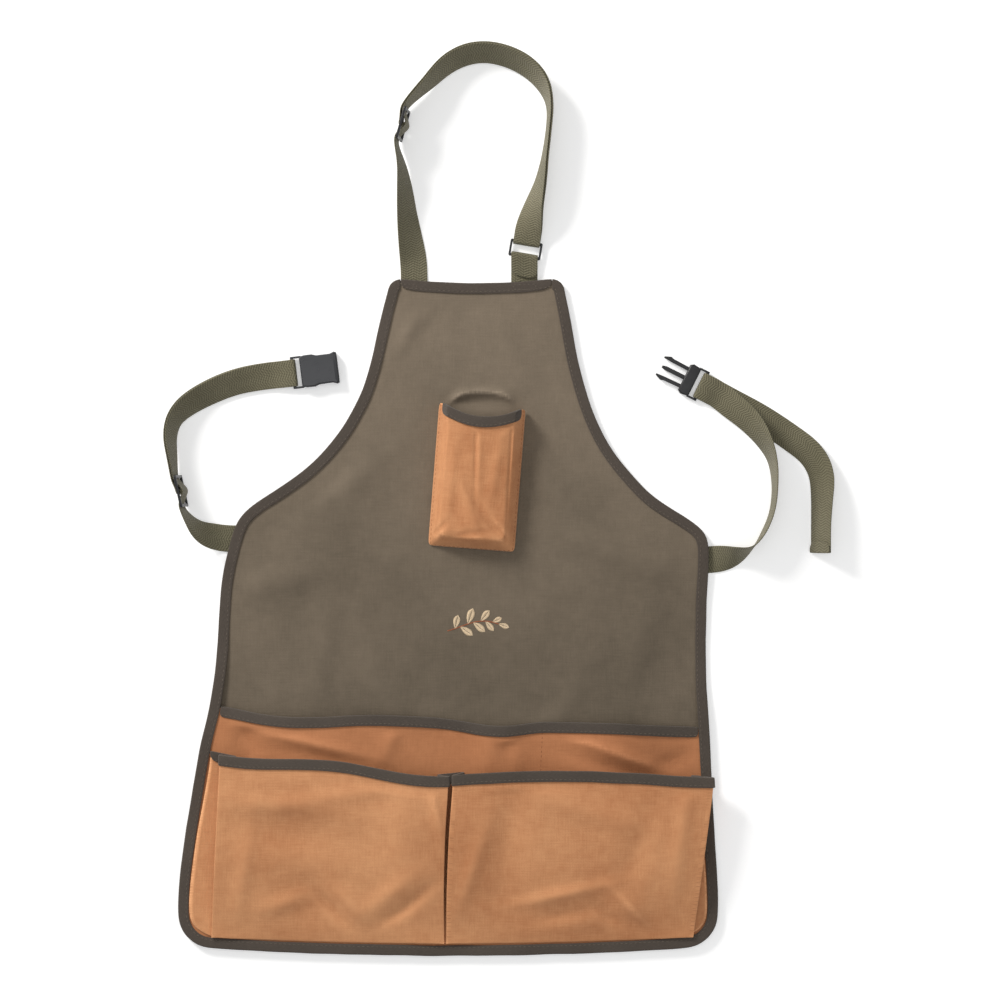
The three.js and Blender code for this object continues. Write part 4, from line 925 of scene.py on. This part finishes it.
# %% Press the pockets
FRONT_RIPPLE, FRONT_RIPPLE_SIZE, FRONT_RUN = 0.5 * MM, 42 * MM, 9 * MM
REAR_RIPPLE, REAR_RIPPLE_SIZE, REAR_RUN = 0.4 * MM, 30 * MM, 7 * MM
BIB_RIPPLE, BIB_RIPPLE_SIZE, BIB_RUN = 0.4 * MM, 24 * MM, 6 * MM
FRONT_LOOSE, FRONT_LOOSE_RUN = 7 * MM, 6 * MM
REAR_LOOSE, REAR_LOOSE_RUN = 3 * MM, 4 * MM
REAR_SHOWS, REAR_SHOWS_RUN = -166 * MM, 12 * MM
BIB_LOOSE, BIB_LOOSE_RUN = 10 * MM, 6 * MM
RUBBED = 8 * MM
edge_tape = tapes["edge_binding"][0]


def front_fade(x, y, z):
    return rise(z, FRONT_LOOSE, FRONT_LOOSE_RUN)


def rear_fade(x, y, z):
    return rise(y, REAR_SHOWS, REAR_SHOWS_RUN) * rise(z, REAR_LOOSE, REAR_LOOSE_RUN)


def bib_fade(x, y, z):
    return rise(z, BIB_LOOSE, BIB_LOOSE_RUN)


front_holders = [tapes["front_pocket_binding"][0], edge_tape]
rear_holders = [tapes["rear_pocket_binding"][0], edge_tape]
bib_holders = [tapes["bib_pocket_binding"][0]]
press(front_cloth, FRONT_RIDGES, FRONT_RIPPLE, FRONT_RIPPLE_SIZE, front_holders, FRONT_RUN, front_fade)
press(rear_cloth, REAR_RIDGES, REAR_RIPPLE, REAR_RIPPLE_SIZE, rear_holders, REAR_RUN, rear_fade)
press(bib_cloth, BIB_RIDGES, BIB_RIPPLE, BIB_RIPPLE_SIZE, bib_holders, BIB_RUN, bib_fade)
for cloth in (body_cloth, front_cloth, rear_cloth, bib_cloth):
    rub(cloth, RUBBED)
print("crests rubbed pale")

# %% [markdown]
# ## Thread
#
# Each stitch is a small grain pulled half way into the cloth. A seam is a line along the net,
# cut into equal steps. Every step finds the nearest face of its piece and lies down on it,
# turned the way the seam runs. The stitches of a seam are joined into one mesh.

# %% Stitches
STITCH = 3.1 * MM
THREAD = 0.55 * MM
PITCH = 4.3 * MM
ABOVE = 1.5 * MM
THREAD_FLOOR = 0.1 * MM


def raised(points, height=ABOVE):
    return [point + Vector((0, 0, height)) for point in points]


def steps_along(points, pitch):
    """Places every pitch along a line of points, each with the line's direction there."""
    places = []
    ahead = pitch / 2
    for a, b in zip(points, points[1:]):
        span = (b - a).length
        while ahead < span:
            places.append((a.lerp(b, ahead / span), (b - a).normalized()))
            ahead += pitch
        ahead -= span
    return places


def add_grain(bm, tree, place, way, length, width):
    """One stitch, laid on the nearest face."""
    spot, normal = tree.find_nearest(place)[:2]
    across = normal.cross(way).normalized()
    turn = Matrix((across.cross(normal), across, normal)).transposed().to_4x4()
    size = Matrix.Diagonal((length / 2, width / 2, width / 2, 1))
    bmesh.ops.create_icosphere(bm, subdivisions=1, radius=1, matrix=Matrix.Translation(spot) @ turn @ size)


def thread_object(bm, name, material):
    """The stitches as one piece. None of them pokes into the floor."""
    for vertex in bm.verts:
        vertex.co.z = max(vertex.co.z, THREAD_FLOOR)
    obj = object_of(bm, name)
    smooth(obj.data)
    obj.data.materials.append(material)
    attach(obj, "root")
    print(name, len(obj.data.polygons), "triangles")
    return obj


def seam(name, lines, onto, material):
    """The stitches of some lines, as one mesh on a piece."""
    bm = bmesh.new()
    tree = tree_of(onto)
    for line in lines:
        for place, way in steps_along(line, PITCH):
            add_grain(bm, tree, place, way, STITCH, THREAD)
    return thread_object(bm, name, material)


def boxed_cross(x, y, across, up, z):
    """The lines of a box and of the cross in it, sized in millimetres, flat at z metres."""
    left, right = (x - across / 2) * MM, (x + across / 2) * MM
    low, high = (y - up / 2) * MM, (y + up / 2) * MM
    corners = [(left, low), (right, low), (right, high), (left, high)]
    a, b, c, d = [Vector((*corner, z)) for corner in corners]
    return [[a, b, c, d, a], [a, c], [b, d]]


# %% [markdown]
# ## Seams of the tapes
#
# One row of stitches holds a folded tape, near its inner rim, through both legs. The tape's
# rows give both lines. Where the neck strap and its stub are sewn on behind the bib, the seam
# of each shows as a low box on the tape, so the seats of the straps are set here.

# %% Seams of the tapes
SEAM_SHARE = 0.2
SEATS = {
    "waist_strap_left": {"x": -199, "y": 71.5, "across": 14, "up": 19},
    "waist_strap_right": {"x": 233, "y": 51.2, "across": 14, "up": 19},
    "neck_strap": {"x": -40.5, "y": 296, "across": 19, "up": 14},
    "neck_stub": {"x": 71, "y": 296, "across": 19, "up": 14},
}
TAPE_BOX = {"y": 306.5, "across": 21, "up": 5, "z": 12 * MM}


def tape_lines(rows):
    """The seams of a folded tape, on its upper and on its lower leg."""
    lines = []
    for inner, bend in ((0, 1), (3, 2)):
        legs = [[row[inner].lerp(row[bend], SEAM_SHARE) for row in layer] for layer in rows]
        heights = [sum(point.z for point in leg) for leg in legs]
        opposite = sum(row[3 - inner].z for layer in rows for row in layer)
        upper = sum(heights) > opposite
        leg = legs[heights.index(max(heights) if upper else min(heights))]
        lines.append(raised(leg, ABOVE if upper else -ABOVE))
    return lines


for node, (obj, rows) in tapes.items():
    lines = tape_lines(rows)
    if node == "bib_binding":
        for seat in ("neck_strap", "neck_stub"):
            lines += boxed_cross(x=SEATS[seat]["x"], **TAPE_BOX)[:1]
    name = node.replace("binding", "tape_seam")
    seam(name, lines, obj, brown_thread)

# %% [markdown]
# ## Seams of the pockets
#
# A straight seam parts the rear pocket, and the bib pocket is sewn down along its sides and
# foot. Their thread is tan like the cloth. Both seams follow the upper layer of the net: one a
# column, the other a line a quarter of a quad in from the border.

# %% Seams of the pockets
DIVIDER = 14
DIVIDER_TOP = -98 * MM
BORDER_SHARE = 0.25


def upper_layer(rows):
    return max(rows, key=lambda grid: sum(row[len(row) // 2].z for row in grid))


divider_line = [row[DIVIDER] for row in upper_layer(rear_rows) if row[DIVIDER].y < DIVIDER_TOP]
divider_seam = seam("divider_seam", [raised(divider_line)], rear_cloth, tan_thread)
bib_layer = upper_layer(bib_rows)
left_line = [row[0].lerp(row[1], BORDER_SHARE) for row in bib_layer]
right_line = [row[-1].lerp(row[-2], BORDER_SHARE) for row in bib_layer]
foot_line = min((bib_layer[0], bib_layer[-1]), key=lambda row: row[1].y)[1:-1]
bib_lines = [raised(line) for line in (left_line, right_line, foot_line)]
bib_seam = seam("bib_pocket_seam", bib_lines, bib_cloth, tan_thread)

# %% [markdown]
# ## Seams of the straps
#
# A strap carries the whole weight of what the pockets hold, so it is sewn on with a cross in a
# box, the strongest short seam there is. It lies behind the body, where the camera doesn't see it.

# %% Seams of the straps
for node, seat in SEATS.items():
    lines = boxed_cross(**seat, z=-ABOVE)
    seam(node + "_seam", lines, straps[node][0], green_thread)

# %% [markdown]
# ## A sprig on the front
#
# Under the bib a small sprig is embroidered, as on many garden things: a curved stem with
# pairs of leaves. A satin-stitched leaf is two fans of parallel stitches that meet at its
# midrib, so it is drawn by walking the midrib and sewing to both sides.

# %% Sprig's stem
SPRIG_PLACE = Vector((0.024, -0.008, 0.004))
SPRIG_SPAN = 50 * MM
STEM_BEND, STEM_DROP = 5 * MM, 2 * MM
STEM_START, STEM_TURN = -0.3 * math.pi, 1.2 * math.pi
STEM_POINTS = 20
STEM_PITCH, STEM_STITCH = 1.6 * MM, 2.4 * MM
SATIN = 0.6 * MM
body_tree = tree_of(body_cloth)


def stem(share):
    """The stem's curve, from its cut end at 0 to its tip at 1."""
    x = (share - 0.5) * SPRIG_SPAN
    y = STEM_BEND * math.sin(STEM_START + share * STEM_TURN) - STEM_DROP
    return SPRIG_PLACE + Vector((x, y, 0))


bm = bmesh.new()
stem_points = [stem(k / STEM_POINTS) for k in range(STEM_POINTS)]
for place, way in steps_along(stem_points, STEM_PITCH):
    aside = SATIN / 2 * Vector((-way.y, way.x, 0))
    for side in (-1, 0, 1):
        add_grain(bm, body_tree, place + side * aside, way, STEM_STITCH, SATIN)
sprig_stems = thread_object(bm, "sprig_stem", rust_thread)

# %% Sprig's leaves
SLANT = 1.1
FULLEST = 0.75
MIDRIB_SHARE = 0.9
STITCH_MIDDLE, STITCH_REACH = 0.65, 1.5
LEAVES = [
    {"at": 0.14, "turn": 58, "length": 14.3, "width": 7.2},
    {"at": 0.24, "turn": -56, "length": 15.6, "width": 7.8},
    {"at": 0.38, "turn": 54, "length": 16.9, "width": 8.1},
    {"at": 0.48, "turn": -52, "length": 15.6, "width": 7.8},
    {"at": 0.62, "turn": 48, "length": 14.3, "width": 7.2},
    {"at": 0.71, "turn": -46, "length": 13.0, "width": 6.7},
    {"at": 0.84, "turn": 38, "length": 10.4, "width": 5.8},
    {"at": 0.95, "turn": 0, "length": 11.7, "width": 6.1},
]


def sew_leaf(bm, foot, angle, length, width):
    """Satin stitches slanting forward to both sides of a midrib."""
    midrib = Vector((math.cos(angle), math.sin(angle), 0))
    aside = Vector((-midrib.y, midrib.x, 0))
    count = int(length / SATIN)
    for k in range(count):
        share = (k + 0.5) / count
        reach = width / 2 * math.sin(math.pi * share ** FULLEST)
        for side in (-1, 1):
            way = (midrib + side * SLANT * aside).normalized()
            middle = foot + midrib * (share * length * MIDRIB_SHARE) + way * (reach * STITCH_MIDDLE)
            add_grain(bm, body_tree, middle, way, max(reach * STITCH_REACH, SATIN), SATIN)


bm = bmesh.new()
for leaf in LEAVES:
    way = stem(leaf["at"] + 0.02) - stem(leaf["at"])
    angle = math.atan2(way.y, way.x) + math.radians(leaf["turn"])
    sew_leaf(bm, stem(leaf["at"]), angle, leaf["length"] * MM, leaf["width"] * MM)
sprig_leaves = thread_object(bm, "sprig_leaves", cream_thread)

# %% [markdown]
# ## Sliders, ring and buckle
#
# Moulded parts have no sharp edges. The frame's flat faces are kept, and a narrow bevel runs
# along each edge between them, so that it catches the light as a thin line. The buckle's
# socket has a shallow panel in its broad face, which is that face inset and let in.

# %% Hardware
HARDWARE = {
    "neck_slider": black_plastic,
    "neck_ring": black_plastic,
    "waist_slider": black_plastic,
    "buckle_socket": smoky_plastic,
    "buckle_plug": black_plastic,
}
EDGE_RADIUS = 0.3 * MM
SHARP = math.radians(38)
COPLANAR = math.radians(1)
UPWARD = 0.9
PANEL_MARGIN, PANEL_DEPTH = 3 * MM, 0.6 * MM


def moulded_copy(node, material):
    """A frame solid with whole faces and narrow rounded edges."""
    bm = merged_copy(node)
    bmesh.ops.dissolve_limit(bm, angle_limit=COPLANAR, verts=bm.verts, edges=bm.edges)
    if node == "buckle_socket":
        panel = max((f for f in bm.faces if f.normal.z > UPWARD), key=lambda f: f.calc_area())
        bmesh.ops.inset_individual(bm, faces=[panel], thickness=PANEL_MARGIN, depth=-PANEL_DEPTH)
    sharp = [e for e in bm.edges if len(e.link_faces) == 2 and e.calc_face_angle() > SHARP]
    round_off(bm, sharp, EDGE_RADIUS, segments=2)
    obj = object_of(bm, node + "_moulding")
    smooth(obj.data)
    obj.data.set_sharp_from_angle(angle=SHARP)
    return dress(obj, node, material)


for node, material in HARDWARE.items():
    moulded_copy(node, material)
